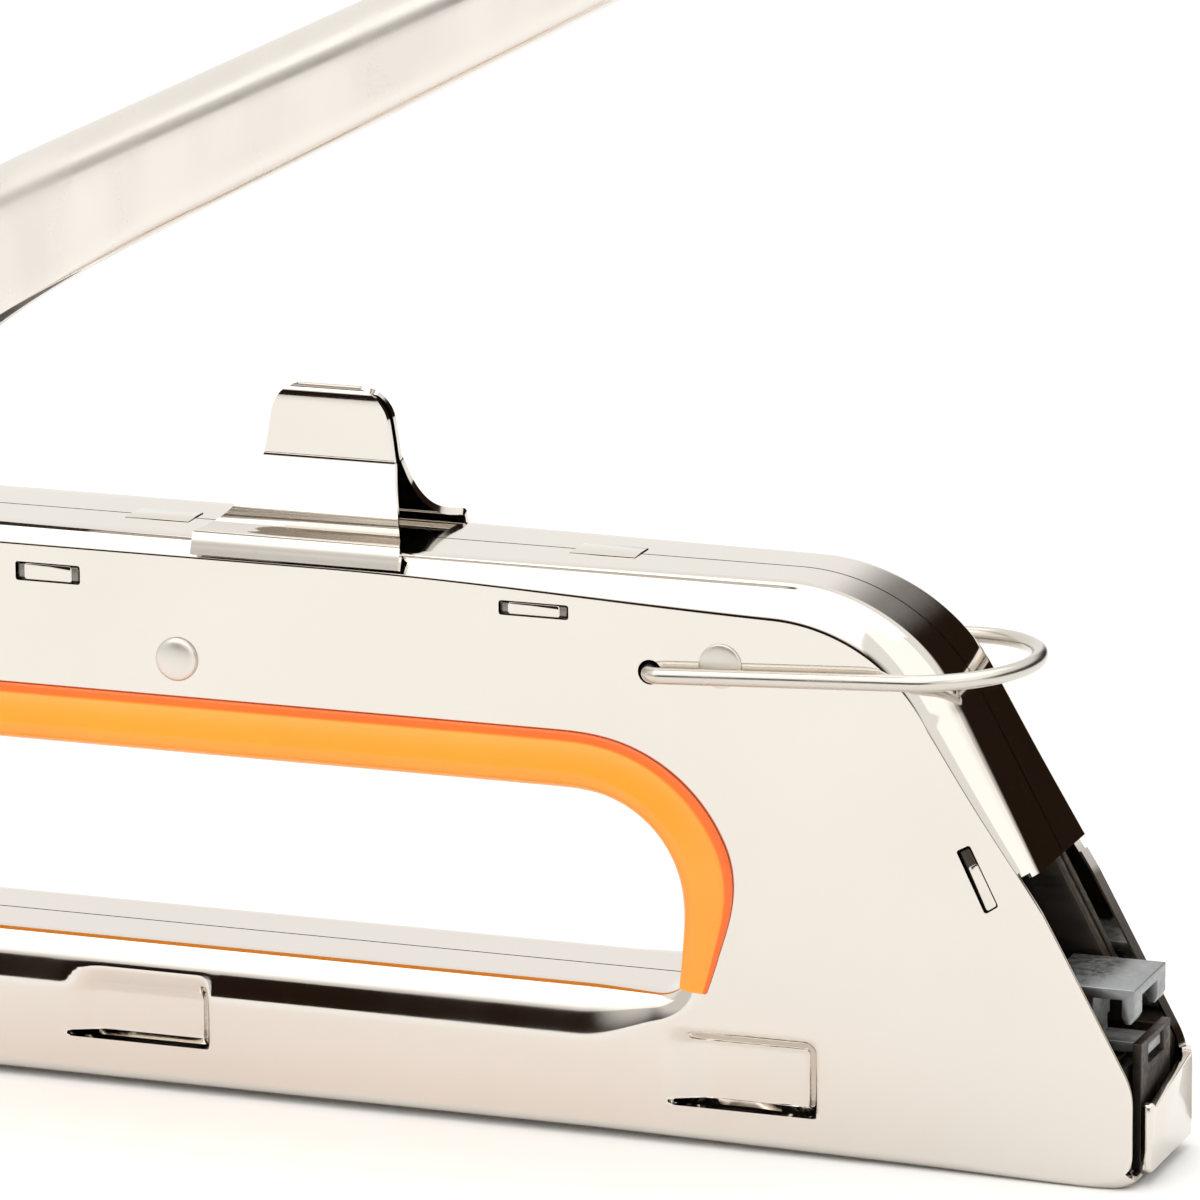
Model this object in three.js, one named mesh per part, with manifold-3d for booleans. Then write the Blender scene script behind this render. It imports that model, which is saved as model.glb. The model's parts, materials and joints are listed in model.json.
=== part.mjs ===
// Hand staple gun in pressed steel: two chromed half shells, an orange hand grip, a squeeze lever
// locked by a wire bail, a spring driven hammer arm, a driver blade and a rear loading staple rail.
// Millimetres. +X points to the nose, +Z up, the base rests on Z = 0 and Y = 0 is the middle plane.
import * as THREE from "three";
import Module from "manifold-3d";

const wasm = await Module();
wasm.setup();

// Shells
const HALF_WIDTH = 9.5;
const SHEET = 1.0;
const INNER_HALF = HALF_WIDTH - SHEET;
const EDGE_ROUND = 1.8;
const SEAM_GAP = 0.15;
const TOP_Z = 62.2;
const BASE_Z = 0.8;
const REAR_X = -85.0;
const NOSE_X = 87.0;
const NOSE_LOW_Z = 3.2;
const NOSE_HIGH_Z = 11.4;
const BROW_X = 66.3;
const BROW_Z = 49.2;
const CROWN_X = 46.0;
const HEEL_ROUND = 7.0;
const FAR_OUT = 30.0;

// Finger opening in the shells
const OPEN_TOP_Z = 39.4;
const OPEN_LOW_Z = 16.4;
const OPEN_FRONT_X = 37.0;
const OPEN_REAR_X = -70.0;
const OPEN_ROUND = 13.0;
const OPEN_FOOT_ROUND = 3.0;

// Orange grip moulding
const GRIP_BAND = 6.0;
const GRIP_LIP = 2.0;
const GRIP_SIDE = 1.9;
const GRIP_FOOT_Z = 17.5;

// Pins that hold the shells
const FULCRUM_X = -21.7;
const FULCRUM_Z = 48.9;
const FRONT_PIN_X = 40.3;
const FRONT_PIN_Z = 53.2;
const PIN_R = 1.6;
const PIN_HEAD_R = 2.4;
const PIN_HEAD_RISE = 1.0;
const LOW_HEAD_RISE = 0.3;
const FIT = 0.15;

// Squeeze lever, drawn level and then swung up about its pin
const LEVER_PIN_X = -72.0;
const LEVER_PIN_Z = 56.0;
const LEVER_LIFT_DEG = 27.9;
const LEVER_HALF = 8.2;
const LEVER_SHEET = 1.0;
const LEVER_LENGTH = 128.0;
const LEVER_LOW = 12.1;
const LEVER_TIP_TOP = 22.6;
const LEVER_ROUND = 2.0;
const ROLLER_U = 8.7;
const ROLLER_N = -2.2;
const ROLLER_R = 3.0;
const BRACKET_HALF = 6.2;
const BRACKET_SHEET = 1.1;

// Lock bail
const BAIL_X = 32.4;
const BAIL_Z = 51.9;
const BAIL_WIRE_R = 0.9;
const BAIL_HALF = 10.95;
const BAIL_ARM = 28.6;
const BAIL_RISE_DEG = 3.0;
const BAIL_STUB = 7.6;

// Hammer arm and driver
const ARM_HALF = 3.0;
const FORK_HALF = 5.7;
const TONGUE_HALF = 2.2;
const BLADE_X = 84.4;
const BLADE_THICK = 1.0;
const BLADE_HALF = 5.3;
const BLADE_LOW_Z = 0.9;
const BLADE_TOP_Z = 15.0;

// Magazine
const CHANNEL_HALF = 6.5;
const CHANNEL_SHEET = 0.7;
const CHANNEL_TOP_Z = 12.6;
const CHANNEL_LOW_Z = 2.2;
const RAIL_HALF = 4.6;
const RAIL_TOP_Z = 10.4;
const RAIL_FRONT_X = 82.0;
const RAIL_SHEET = 0.7;
const ROD_Z = 6.6;
const ROD_R = 0.8;

// Saddle over the body top
const SADDLE_REAR_X = -19.5;
const SADDLE_FRONT_X = 4.4;
const FIN_TOP_Z = 78.6;
const FIN_HALF = 1.5;

const CHROME = { color: 0xd8d4cc, roughness: 0.12, metalness: 1.0 };
const STEEL = { color: 0x8f9194, roughness: 0.38, metalness: 1.0 };
const DARK_STEEL = { color: 0x55565a, roughness: 0.5, metalness: 0.9 };
const ZINC = { color: 0xb4b6b8, roughness: 0.45, metalness: 0.9 };
const ORANGE = { color: 0xff8a1e, roughness: 0.38, metalness: 0.0 };
const BLACK = { color: 0x1c1c1e, roughness: 0.7, metalness: 0.0 };
const WIRE = { color: 0xc2c4c6, roughness: 0.3, metalness: 1.0 };

// Turns a closed surface into a solid, sharing every corner that has the same position.
function toSolid(geometry) {
  const flat = geometry.index ? geometry.toNonIndexed() : geometry;
  const place = flat.getAttribute("position");
  const seen = new Map();
  const corners = [];
  const faces = [];
  for (let i = 0; i < place.count; i += 1) {
    const spot = [place.getX(i), place.getY(i), place.getZ(i)];
    const key = spot.map((value) => Math.round(value * 1e5)).join(",");
    if (!seen.has(key)) {
      seen.set(key, corners.length / 3);
      corners.push(...spot);
    }
    faces.push(seen.get(key));
  }
  const kept = [];
  for (let i = 0; i < faces.length; i += 3) {
    const [a, b, c] = faces.slice(i, i + 3);
    if (a !== b && b !== c && c !== a) {
      kept.push(a, b, c);
    }
  }
  return new wasm.Manifold(
    new wasm.Mesh({
      numProp: 3,
      vertProperties: new Float32Array(corners),
      triVerts: new Uint32Array(kept),
    }),
  );
}

// Makes the named mesh of a finished solid.
function toMesh(name, solid, look) {
  const mesh = solid.getMesh();
  const geometry = new THREE.BufferGeometry();
  geometry.setAttribute("position", new THREE.Float32BufferAttribute(mesh.vertProperties, 3));
  geometry.setIndex(Array.from(mesh.triVerts));
  geometry.computeVertexNormals();
  const made = new THREE.Mesh(geometry, new THREE.MeshStandardMaterial(look));
  made.name = name;
  return made;
}

// Straight-sided outline from a list of corners.
function outline(corners) {
  return new THREE.Shape(corners.map(([a, b]) => new THREE.Vector2(a, b)));
}

// Plate whose outline lies in XZ and whose thickness runs from lowY to highY.
function plate(shape, lowY, highY, steps = 6) {
  const made = new THREE.ExtrudeGeometry(shape, {
    depth: highY - lowY,
    bevelEnabled: false,
    curveSegments: steps,
  });
  made.rotateX(Math.PI / 2);
  made.translate(0, highY, 0);
  return toSolid(made);
}

// Pillow: an XZ outline with rounded edges, drawn in by inset all round, between y = -half and half.
function pillow(shape, half, round, inset, steps, roundSteps) {
  const made = new THREE.ExtrudeGeometry(shape, {
    depth: 2 * (half - round),
    bevelEnabled: true,
    bevelThickness: round,
    bevelSize: round,
    bevelOffset: -round - inset,
    bevelSegments: roundSteps,
    curveSegments: steps,
  });
  made.rotateX(Math.PI / 2);
  made.translate(0, half - round, 0);
  return toSolid(made);
}

// Box between two corners.
function block(low, high) {
  const made = new THREE.BoxGeometry(high[0] - low[0], high[1] - low[1], high[2] - low[2]);
  made.translate((low[0] + high[0]) / 2, (low[1] + high[1]) / 2, (low[2] + high[2]) / 2);
  return toSolid(made);
}

// Round bar along Y.
function barY(x, z, radius, lowY, highY, sides = 20) {
  const made = new THREE.CylinderGeometry(radius, radius, highY - lowY, sides);
  made.translate(x, (lowY + highY) / 2, z);
  return toSolid(made);
}

// Round bar along X.
function barX(lowX, highX, y, z, radius, sides = 16) {
  const made = new THREE.CylinderGeometry(radius, radius, highX - lowX, sides);
  made.rotateZ(Math.PI / 2);
  made.translate((lowX + highX) / 2, y, z);
  return toSolid(made);
}

// Same solid on the other side of the middle plane.
function mirrored(solid) {
  return solid.mirror([0, 1, 0]);
}

// Side outline of the pressed body, with the finger opening when asked.
function bodyShape(withOpening) {
  const shape = new THREE.Shape();
  shape.moveTo(REAR_X + HEEL_ROUND, TOP_Z);
  shape.quadraticCurveTo(REAR_X, TOP_Z, REAR_X, TOP_Z - HEEL_ROUND);
  shape.lineTo(REAR_X, BASE_Z);
  shape.lineTo(26, BASE_Z);
  shape.lineTo(83.5, 0);
  shape.quadraticCurveTo(NOSE_X, 0, NOSE_X, NOSE_LOW_Z);
  shape.lineTo(NOSE_X, NOSE_HIGH_Z);
  shape.lineTo(BROW_X, BROW_Z);
  shape.quadraticCurveTo(61.0, TOP_Z - 1.2, CROWN_X, TOP_Z);
  if (withOpening) {
    shape.holes.push(openingShape(0));
  }
  return shape;
}

// Finger opening outline, grown outward by grow.
function openingShape(grow) {
  const hole = new THREE.Path();
  const top = OPEN_TOP_Z + grow;
  const low = OPEN_LOW_Z - grow;
  const front = OPEN_FRONT_X + grow;
  const rear = OPEN_REAR_X - grow;
  hole.moveTo(rear + OPEN_FOOT_ROUND, low);
  hole.lineTo(front - OPEN_FOOT_ROUND, low);
  hole.quadraticCurveTo(front, low + 1, front, low + 6);
  hole.lineTo(front, top - OPEN_ROUND);
  hole.quadraticCurveTo(front, top, front - OPEN_ROUND - 2, top);
  hole.lineTo(rear + OPEN_ROUND, top);
  hole.quadraticCurveTo(rear, top, rear, top - OPEN_ROUND);
  hole.lineTo(rear, low + OPEN_FOOT_ROUND);
  hole.quadraticCurveTo(rear, low, rear + OPEN_FOOT_ROUND, low);
  return hole;
}

// Pressed-in pocket on the right side: a ramp at the rear, a flat floor and a steep front wall.
function pocketTool(rearX, flatRearX, flatFrontX, frontX, lowZ, highZ, faceY, depth) {
  const shape = outline([
    [rearX, faceY - 3],
    [frontX, faceY - 3],
    [frontX, faceY],
    [flatFrontX, faceY + depth],
    [flatRearX, faceY + depth],
    [rearX, faceY],
  ]);
  const made = new THREE.ExtrudeGeometry(shape, { depth: highZ - lowZ, bevelEnabled: false });
  made.translate(0, 0, lowZ);
  return toSolid(made);
}

// Both pockets of the right side, spread and sunk for the inner face of the sheet.
function pockets(spread, faceY) {
  const depth = 1.6;
  const rear = pocketTool(
    -36.4 - spread, -31 - spread, -20.4 + spread, -18.1 + spread,
    5.8 - spread, 11 + spread, faceY, depth,
  );
  const front = pocketTool(
    33.5 - spread, 38.4 - spread, 49.6 + spread, 51.0 + spread,
    5 - spread, 12.8 + spread, faceY, depth,
  );
  return rear.add(front);
}

// Narrow slots through both side plates where the inner clips hook in.
function clipSlots() {
  const reach = HALF_WIDTH + 1;
  const rear = block([-40.5, -reach, 56.2], [-32.9, reach, 58.3]);
  const middle = block([15.4, -reach, 56.8], [23.3, reach, 58.4]);
  const slanted = outline([[66.3, 35.4], [69.5, 28.8], [71.0, 29.8], [67.8, 36.2]]);
  const front = plate(slanted, -reach, reach);
  return rear.add(middle).add(front);
}

// Both shells in one piece, before the seam is cut.
function shellPair() {
  const skin = pillow(bodyShape(true), HALF_WIDTH, EDGE_ROUND, 0, 7, 3);
  const hollow = pillow(bodyShape(true), INNER_HALF, EDGE_ROUND - SHEET, SHEET, 7, 2);
  const outside = pockets(0, -HALF_WIDTH);
  const inside = pockets(SHEET, -INNER_HALF);
  let pair = skin.subtract(outside).subtract(mirrored(outside));
  pair = pair.subtract(hollow.subtract(inside).subtract(mirrored(inside)));
  const wide = INNER_HALF - 0.05;
  const noseWindow = outline([[84.9, 8.5], [92, 8.5], [92, 33.6], [73.0, 33.6], [84.9, 11]]);
  pair = pair.subtract(plate(noseWindow, -wide, wide));
  pair = pair.subtract(block([83.9, -5.8, -2], [86.0, 5.8, 4]));
  pair = pair.subtract(block([REAR_X - 2, -7, 1.9], [REAR_X + 2, 7, 13.2]));
  pair = pair.subtract(block([REAR_X - 2, -wide, 46], [-50.5, wide, TOP_Z + 3]));
  pair = pair.subtract(barY(FULCRUM_X, FULCRUM_Z, PIN_R + FIT, -FAR_OUT, FAR_OUT));
  pair = pair.subtract(barY(FRONT_PIN_X, FRONT_PIN_Z, PIN_R + FIT, -FAR_OUT, FAR_OUT));
  pair = pair.subtract(barY(LEVER_PIN_X, LEVER_PIN_Z, PIN_R + FIT, -FAR_OUT, FAR_OUT));
  pair = pair.subtract(barY(BAIL_X, BAIL_Z, BAIL_WIRE_R + FIT, -FAR_OUT, FAR_OUT));
  return pair.subtract(clipSlots());
}

// Right half shell, with the whole nose front left open.
function rightShell(pair) {
  const half = pair.intersect(block([-100, -FAR_OUT, -5], [100, -SEAM_GAP, 100]));
  const noseCut = block([85.6, -INNER_HALF + 0.05, 1.2], [92, 0, 9]);
  return toMesh("right_shell", half.subtract(noseCut), CHROME);
}

// Left half shell, whose front strap reaches across the nose.
function leftShell(pair) {
  const half = pair.intersect(block([-100, SEAM_GAP, -5], [100, FAR_OUT, 100]));
  const strap = block([NOSE_X - SHEET, -7, 1.5], [NOSE_X, 1, 8.5]);
  return toMesh("left_shell", half.add(strap), CHROME);
}

// Half-round grip moulding that clips over the edge of the finger opening.
function gripTrim() {
  const edge = GRIP_BAND;
  const shape = new THREE.Shape();
  shape.moveTo(OPEN_FRONT_X + 1.6, GRIP_FOOT_Z - 1.8);
  shape.quadraticCurveTo(OPEN_FRONT_X + edge, GRIP_FOOT_Z + 6, OPEN_FRONT_X + edge, 29);
  shape.quadraticCurveTo(OPEN_FRONT_X + edge - 1, 43.6, 26, OPEN_TOP_Z + edge - 0.4);
  shape.lineTo(OPEN_REAR_X + 13, OPEN_TOP_Z + edge - 0.4);
  shape.quadraticCurveTo(OPEN_REAR_X - edge, 44, OPEN_REAR_X - edge, 29);
  shape.quadraticCurveTo(OPEN_REAR_X - edge, GRIP_FOOT_Z + 5, OPEN_REAR_X - 1, GRIP_FOOT_Z + 2);
  shape.lineTo(OPEN_REAR_X + GRIP_LIP + 0.5, GRIP_FOOT_Z + 2);
  shape.lineTo(OPEN_REAR_X + GRIP_LIP, 26);
  const lipZ = OPEN_TOP_Z - GRIP_LIP;
  shape.quadraticCurveTo(OPEN_REAR_X + GRIP_LIP, lipZ, OPEN_REAR_X + 15, lipZ);
  shape.lineTo(20, lipZ);
  shape.quadraticCurveTo(OPEN_FRONT_X - GRIP_LIP, 37, OPEN_FRONT_X - GRIP_LIP, 25);
  shape.lineTo(OPEN_FRONT_X - GRIP_LIP - 0.6, GRIP_FOOT_Z);
  shape.lineTo(OPEN_FRONT_X + 1.6, GRIP_FOOT_Z - 1.8);
  const moulding = pillow(shape, HALF_WIDTH + GRIP_SIDE, 2.2, 0, 8, 3);
  const room = pillow(bodyShape(true), HALF_WIDTH + FIT, EDGE_ROUND, -FIT, 7, 3);
  return toMesh("grip_trim", moulding.subtract(room), ORANGE);
}

// Domed rivet through both shells.
function domedPin(name, x, z, rise) {
  const points = [new THREE.Vector2(0, -HALF_WIDTH - FIT - rise)];
  points.push(new THREE.Vector2(PIN_HEAD_R * 0.7, -HALF_WIDTH - FIT - rise * 0.75));
  points.push(new THREE.Vector2(PIN_HEAD_R, -HALF_WIDTH - FIT));
  points.push(new THREE.Vector2(PIN_R, -HALF_WIDTH - FIT));
  points.push(new THREE.Vector2(PIN_R, HALF_WIDTH + FIT));
  points.push(new THREE.Vector2(PIN_HEAD_R, HALF_WIDTH + FIT));
  points.push(new THREE.Vector2(PIN_HEAD_R * 0.7, HALF_WIDTH + FIT + rise * 0.75));
  points.push(new THREE.Vector2(0, HALF_WIDTH + FIT + rise));
  const made = new THREE.LatheGeometry(points, 20);
  made.translate(x, 0, z);
  return toMesh(name, toSolid(made), ZINC);
}

// Cross bar inside the shells whose ends show in the slots.
function clip(name, low, high) {
  const gap = 0.25;
  const half = INNER_HALF - gap;
  const reach = HALF_WIDTH - 0.2;
  const bar = block([low[0] - 1.5, -half, low[1] - 1], [high[0] + 1.5, half, high[1] + 1]);
  const ends = block([low[0] + gap, -reach, low[1] + gap], [high[0] - gap, reach, high[1] - gap]);
  return toMesh(name, bar.add(ends), STEEL);
}

// Wear plate inside the nose that guides the hammer, with a lug in the slanted slot.
function noseLiner(name, side) {
  const gap = 0.25;
  const face = outline([
    [58, 36], [62, 44], [66.5, 41.5], [72.5, 30.5], [80.5, 15.2], [80.5, 13.4], [64, 13.4],
  ]);
  const liner = plate(face, 6.9, INNER_HALF - gap);
  const lugFace = outline([[66.6, 35.3], [69.6, 29.2], [70.7, 29.9], [67.7, 35.8]]);
  const whole = liner.add(plate(lugFace, 7, HALF_WIDTH - 0.2));
  return toMesh(name, side < 0 ? mirrored(whole) : whole, STEEL);
}

// Inverted U sheet channel along X.
function channel(lowX, highX, half, lowZ, topZ, sheet) {
  const outer = block([lowX, -half, lowZ], [highX, half, topZ]);
  const inner = block([lowX - 1, -half + sheet, lowZ - 1], [highX + 1, half - sheet, topZ - sheet]);
  return outer.subtract(inner);
}

// Fixed staple channel along the foot of the body.
function stapleChannel() {
  const front = RAIL_FRONT_X + 0.3;
  const made = channel(-83.5, front, CHANNEL_HALF, CHANNEL_LOW_Z, CHANNEL_TOP_Z, CHANNEL_SHEET);
  return toMesh("staple_channel", made, STEEL);
}

// Gate behind the driver blade that carries the staple legs.
function noseGuide() {
  const passage = block([80, -5.5, 2.9], [90, 5.5, 14]);
  const made = block([82.6, -7.9, 1.3], [84.1, 7.9, 12.4]).subtract(passage);
  return toMesh("nose_guide", made, STEEL);
}

// Side outline of one of the two tabs that hang from the fork.
function roundedTab() {
  return outline([[83.3, 20.5], [83.3, 17.9], [83.7, 17.1], [84.3, 17.1], [84.7, 17.9], [84.7, 20.5]]);
}

// Hammer arm: hub on the fulcrum pin, heel under the roller and forked tip in the nose.
function hammerArm() {
  const side = outline([
    [-67, 54.8], [-60, 54.8], [-40, 53.6], [-21.7, 53.4], [-8, 52.0], [20, 47.0], [34, 44.6],
    [57, 44.6], [66.5, 28.5], [72, 20.5], [79.4, 20.5], [79.4, 15.7], [72, 15.7], [62, 24], [47, 36.5],
    [38, 41.2], [10, 42.2], [-21.7, 44.6], [-67, 50.6],
  ]);
  const fork = block([74.5, -FORK_HALF, 19.7], [84.7, FORK_HALF, 20.9]);
  const tab = plate(roundedTab(), 2.8, FORK_HALF);
  const neck = block([77.2, -TONGUE_HALF, 13.0], [79.4, TONGUE_HALF, 17]);
  const tongue = block([77.2, -TONGUE_HALF, 13.0], [85.2, TONGUE_HALF, 14.2]);
  let arm = plate(side, -ARM_HALF, ARM_HALF);
  arm = arm.add(fork).add(tab).add(mirrored(tab)).add(neck).add(tongue);
  arm = arm.add(barY(FULCRUM_X, FULCRUM_Z, 4.4, -6.5, 6.5));
  return toMesh("hammer_arm", arm.subtract(barY(FULCRUM_X, FULCRUM_Z, PIN_R + 0.08, -9, 9)), ZINC);
}

// Driver blade with the window that the hammer tongue lifts.
function driverBlade() {
  const front = BLADE_X + BLADE_THICK;
  const blade = block([BLADE_X, -BLADE_HALF, BLADE_LOW_Z], [front, BLADE_HALF, BLADE_TOP_Z]);
  const opening = block([BLADE_X - 1, -2.7, 12.2], [BLADE_X + 3, 2.7, 14.4]);
  return toMesh("driver_blade", blade.subtract(opening), STEEL);
}

// Line of a coil that turns about an axis, given by two cross directions.
class CoilCurve extends THREE.Curve {
  constructor(start, along, sideA, sideB, radius, turns) {
    super();
    Object.assign(this, { start, along, sideA, sideB, radius, turns });
  }

  getPoint(t, target = new THREE.Vector3()) {
    const turn = 2 * Math.PI * this.turns * t;
    target.copy(this.start).addScaledVector(this.along, t);
    target.addScaledVector(this.sideA, this.radius * Math.cos(turn));
    return target.addScaledVector(this.sideB, this.radius * Math.sin(turn));
  }
}

// Round wire swept along a curve.
function wire(curve, radius, steps, sides) {
  const section = new THREE.Shape();
  section.absarc(0, 0, radius, 0, 2 * Math.PI, false);
  const options = { steps, extrudePath: curve, bevelEnabled: false, curveSegments: sides };
  return toSolid(new THREE.ExtrudeGeometry(section, options));
}

// Strong coil between the hammer arm and the seat under the body top.
function mainSpring() {
  const start = new THREE.Vector3(48.4, 0, 45.6);
  const rise = new THREE.Vector3(0, 0, 11.4);
  const coil = new CoilCurve(start, rise, new THREE.Vector3(1, 0, 0), new THREE.Vector3(0, 1, 0), 4.4, 4.5);
  return toMesh("main_spring", wire(coil, 0.8, 60, 3), STEEL);
}

// Torsion coil that lifts the lever.
function returnSpring() {
  const start = new THREE.Vector3(LEVER_PIN_X, -4.2, LEVER_PIN_Z);
  const run = new THREE.Vector3(0, 8.4, 0);
  const coil = new CoilCurve(start, run, new THREE.Vector3(0, 0, -1), new THREE.Vector3(1, 0, 0), 2.7, 5);
  return toMesh("return_spring", wire(coil, 0.5, 48, 3), STEEL);
}

// Light coil that pushes the follower to the nose.
function followerSpring() {
  const start = new THREE.Vector3(-82, 0, ROD_Z);
  const run = new THREE.Vector3(138, 0, 0);
  const coil = new CoilCurve(start, run, new THREE.Vector3(0, 1, 0), new THREE.Vector3(0, 0, 1), 1.9, 16);
  return toMesh("follower_spring", wire(coil, 0.35, 150, 2), STEEL);
}

// Swings a solid from the level lever frame to its open position on the body.
function raised(solid) {
  return solid.rotate([0, -LEVER_LIFT_DEG, 0]).translate([LEVER_PIN_X, 0, LEVER_PIN_Z]);
}

// Side outline of the lever in its level frame, drawn in by inset on the top and ends.
function leverShape() {
  const shape = new THREE.Shape();
  shape.moveTo(-7, -6);
  shape.lineTo(-9, 3);
  shape.quadraticCurveTo(-8, 25, 14, 26.6);
  shape.lineTo(48, 26.2);
  shape.lineTo(LEVER_LENGTH - 4, LEVER_TIP_TOP);
  shape.quadraticCurveTo(LEVER_LENGTH, LEVER_TIP_TOP, LEVER_LENGTH, LEVER_TIP_TOP - 4);
  shape.lineTo(LEVER_LENGTH, LEVER_LOW + 2);
  shape.lineTo(LEVER_LENGTH - 1.5, LEVER_LOW);
  shape.lineTo(54, LEVER_LOW);
  shape.quadraticCurveTo(34, 12, 20, 7.2);
  shape.lineTo(13, -3);
  shape.quadraticCurveTo(6, -8, -7, -6);
  return shape;
}

// Folded steel lever, open underneath.
function lever() {
  const skin = pillow(leverShape(), LEVER_HALF, LEVER_ROUND, 0, 7, 3);
  const half = LEVER_HALF - LEVER_SHEET;
  const core = pillow(leverShape(), half, LEVER_ROUND - LEVER_SHEET, LEVER_SHEET, 7, 2);
  const front = LEVER_LENGTH - 1.1;
  const underside = outline([
    [-8, -4.9], [-8, -12], [60, -12], [front, 2], [front, 13.3], [54, 13.3], [19, 8.6], [12.4, -2.5],
  ]);
  const rearCut = outline([[-14, -10], [-3, -10], [-3, 6], [-14, 6]]);
  let made = skin.subtract(core).subtract(plate(underside, -half, half));
  made = made.subtract(plate(rearCut, -half, half));
  made = made.subtract(barY(0, 0, PIN_R + FIT, -FAR_OUT, FAR_OUT));
  return toMesh("lever", raised(made), CHROME);
}

// Cam bracket inside the lever, which carries the roller.
function leverBracket() {
  const side = outline([
    [-5, -4], [-5.5, 6], [3, 17], [40, 17], [38, 13], [17, 11.8], [12.2, 0], [11, -5.0], [6, -5.0],
  ]);
  const top = outline([[3, 15.8], [3, 17], [40, 17], [40, 15.8]]);
  const inner = BRACKET_HALF - BRACKET_SHEET;
  let made = plate(side, -BRACKET_HALF, -inner).add(plate(side, inner, BRACKET_HALF));
  made = made.add(plate(top, -BRACKET_HALF, BRACKET_HALF));
  made = made.subtract(barY(0, 0, PIN_R + FIT, -FAR_OUT, FAR_OUT));
  made = made.subtract(barY(ROLLER_U, ROLLER_N, 1.2 + FIT, -FAR_OUT, FAR_OUT));
  return toMesh("lever_bracket", raised(made), DARK_STEEL);
}

// Roller that presses on the heel of the hammer arm.
function camRoller() {
  const hole = barY(ROLLER_U, ROLLER_N, 1.28, -9, 9);
  const made = barY(ROLLER_U, ROLLER_N, ROLLER_R, -4.6, 4.6, 24).subtract(hole);
  return toMesh("cam_roller", raised(made), STEEL);
}

// Pin of the roller.
function rollerPin() {
  return toMesh("roller_pin", raised(barY(ROLLER_U, ROLLER_N, 1.2, -6.8, 6.8)), ZINC);
}

// Hinge pin of the lever, held by both shells.
function leverPin() {
  return domedPin("lever_pin", LEVER_PIN_X, LEVER_PIN_Z, PIN_HEAD_RISE);
}

// Wire bail that swings up and locks over the tip of the closed lever.
function lockBail() {
  const rise = THREE.MathUtils.degToRad(BAIL_RISE_DEG);
  const bend = 1.6;
  const path = new THREE.CurvePath();
  const spot = (along, y) =>
    new THREE.Vector3(BAIL_X + along * Math.cos(rise), y, BAIL_Z + along * Math.sin(rise));
  const corners = [];
  corners.push(spot(0, -BAIL_STUB));
  corners.push(spot(0, -BAIL_HALF + bend));
  const turns = 4;
  for (let i = 1; i <= turns; i += 1) {
    const angle = (Math.PI / 2) * (i / turns);
    corners.push(spot(bend * (1 - Math.cos(angle)), -BAIL_HALF + bend - bend * Math.sin(angle)));
  }
  const arcs = 14;
  for (let i = 0; i <= arcs; i += 1) {
    const angle = Math.PI * (i / arcs);
    corners.push(spot(BAIL_ARM + BAIL_HALF * Math.sin(angle), -BAIL_HALF * Math.cos(angle)));
  }
  for (let i = turns; i >= 1; i -= 1) {
    const angle = (Math.PI / 2) * (i / turns);
    corners.push(spot(bend * (1 - Math.cos(angle)), BAIL_HALF - bend + bend * Math.sin(angle)));
  }
  corners.push(spot(0, BAIL_HALF - bend));
  corners.push(spot(0, BAIL_STUB));
  for (let i = 1; i < corners.length; i += 1) {
    path.add(new THREE.LineCurve3(corners[i - 1], corners[i]));
  }
  return toMesh("lock_bail", wire(path, BAIL_WIRE_R, 64, 5), WIRE);
}

// Sheet saddle that slides along the body top, with a tall finger fin.
function powerSaddle() {
  const lip = HALF_WIDTH + 1.05;
  const section = new THREE.Shape();
  section.moveTo(-lip, 60.9);
  section.lineTo(-lip, 62.8);
  section.quadraticCurveTo(-lip + 0.4, 63.5, -7.5, 64.0);
  section.quadraticCurveTo(-2.4, 65.4, -FIN_HALF, 72);
  section.lineTo(-FIN_HALF, FIN_TOP_Z - 0.8);
  section.quadraticCurveTo(0, FIN_TOP_Z + 0.8, FIN_HALF, FIN_TOP_Z - 0.8);
  section.lineTo(FIN_HALF, 72);
  section.quadraticCurveTo(2.4, 65.4, 7.5, 64.0);
  section.quadraticCurveTo(lip - 0.4, 63.5, lip, 62.8);
  section.lineTo(lip, 60.9);
  section.lineTo(HALF_WIDTH + 0.25, 60.9);
  section.quadraticCurveTo(HALF_WIDTH + 0.2, 62.4, 7.2, 62.6);
  section.quadraticCurveTo(2.2, 64.2, 0, 69);
  section.quadraticCurveTo(-2.2, 64.2, -7.2, 62.6);
  section.quadraticCurveTo(-HALF_WIDTH - 0.2, 62.4, -HALF_WIDTH - 0.25, 60.9);
  const long = new THREE.ExtrudeGeometry(section, { depth: 30, bevelEnabled: false, curveSegments: 5 });
  long.rotateX(Math.PI / 2);
  long.rotateZ(Math.PI / 2);
  long.translate(SADDLE_REAR_X - 3, 0, 0);
  const side = new THREE.Shape();
  side.moveTo(SADDLE_REAR_X, 60);
  side.lineTo(SADDLE_REAR_X, 63.6);
  side.quadraticCurveTo(-15, 65, -14.4, 71.5);
  side.lineTo(-13.6, 76);
  side.quadraticCurveTo(-13.2, FIN_TOP_Z, -11, FIN_TOP_Z);
  side.lineTo(-3.3, FIN_TOP_Z);
  side.quadraticCurveTo(-1, FIN_TOP_Z, -0.8, 76);
  side.lineTo(0, 71.5);
  side.quadraticCurveTo(0.5, 66, SADDLE_FRONT_X, 63.6);
  side.lineTo(SADDLE_FRONT_X, 60);
  return toMesh("power_saddle", toSolid(long).intersect(plate(side, -FAR_OUT, FAR_OUT)), CHROME);
}

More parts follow.
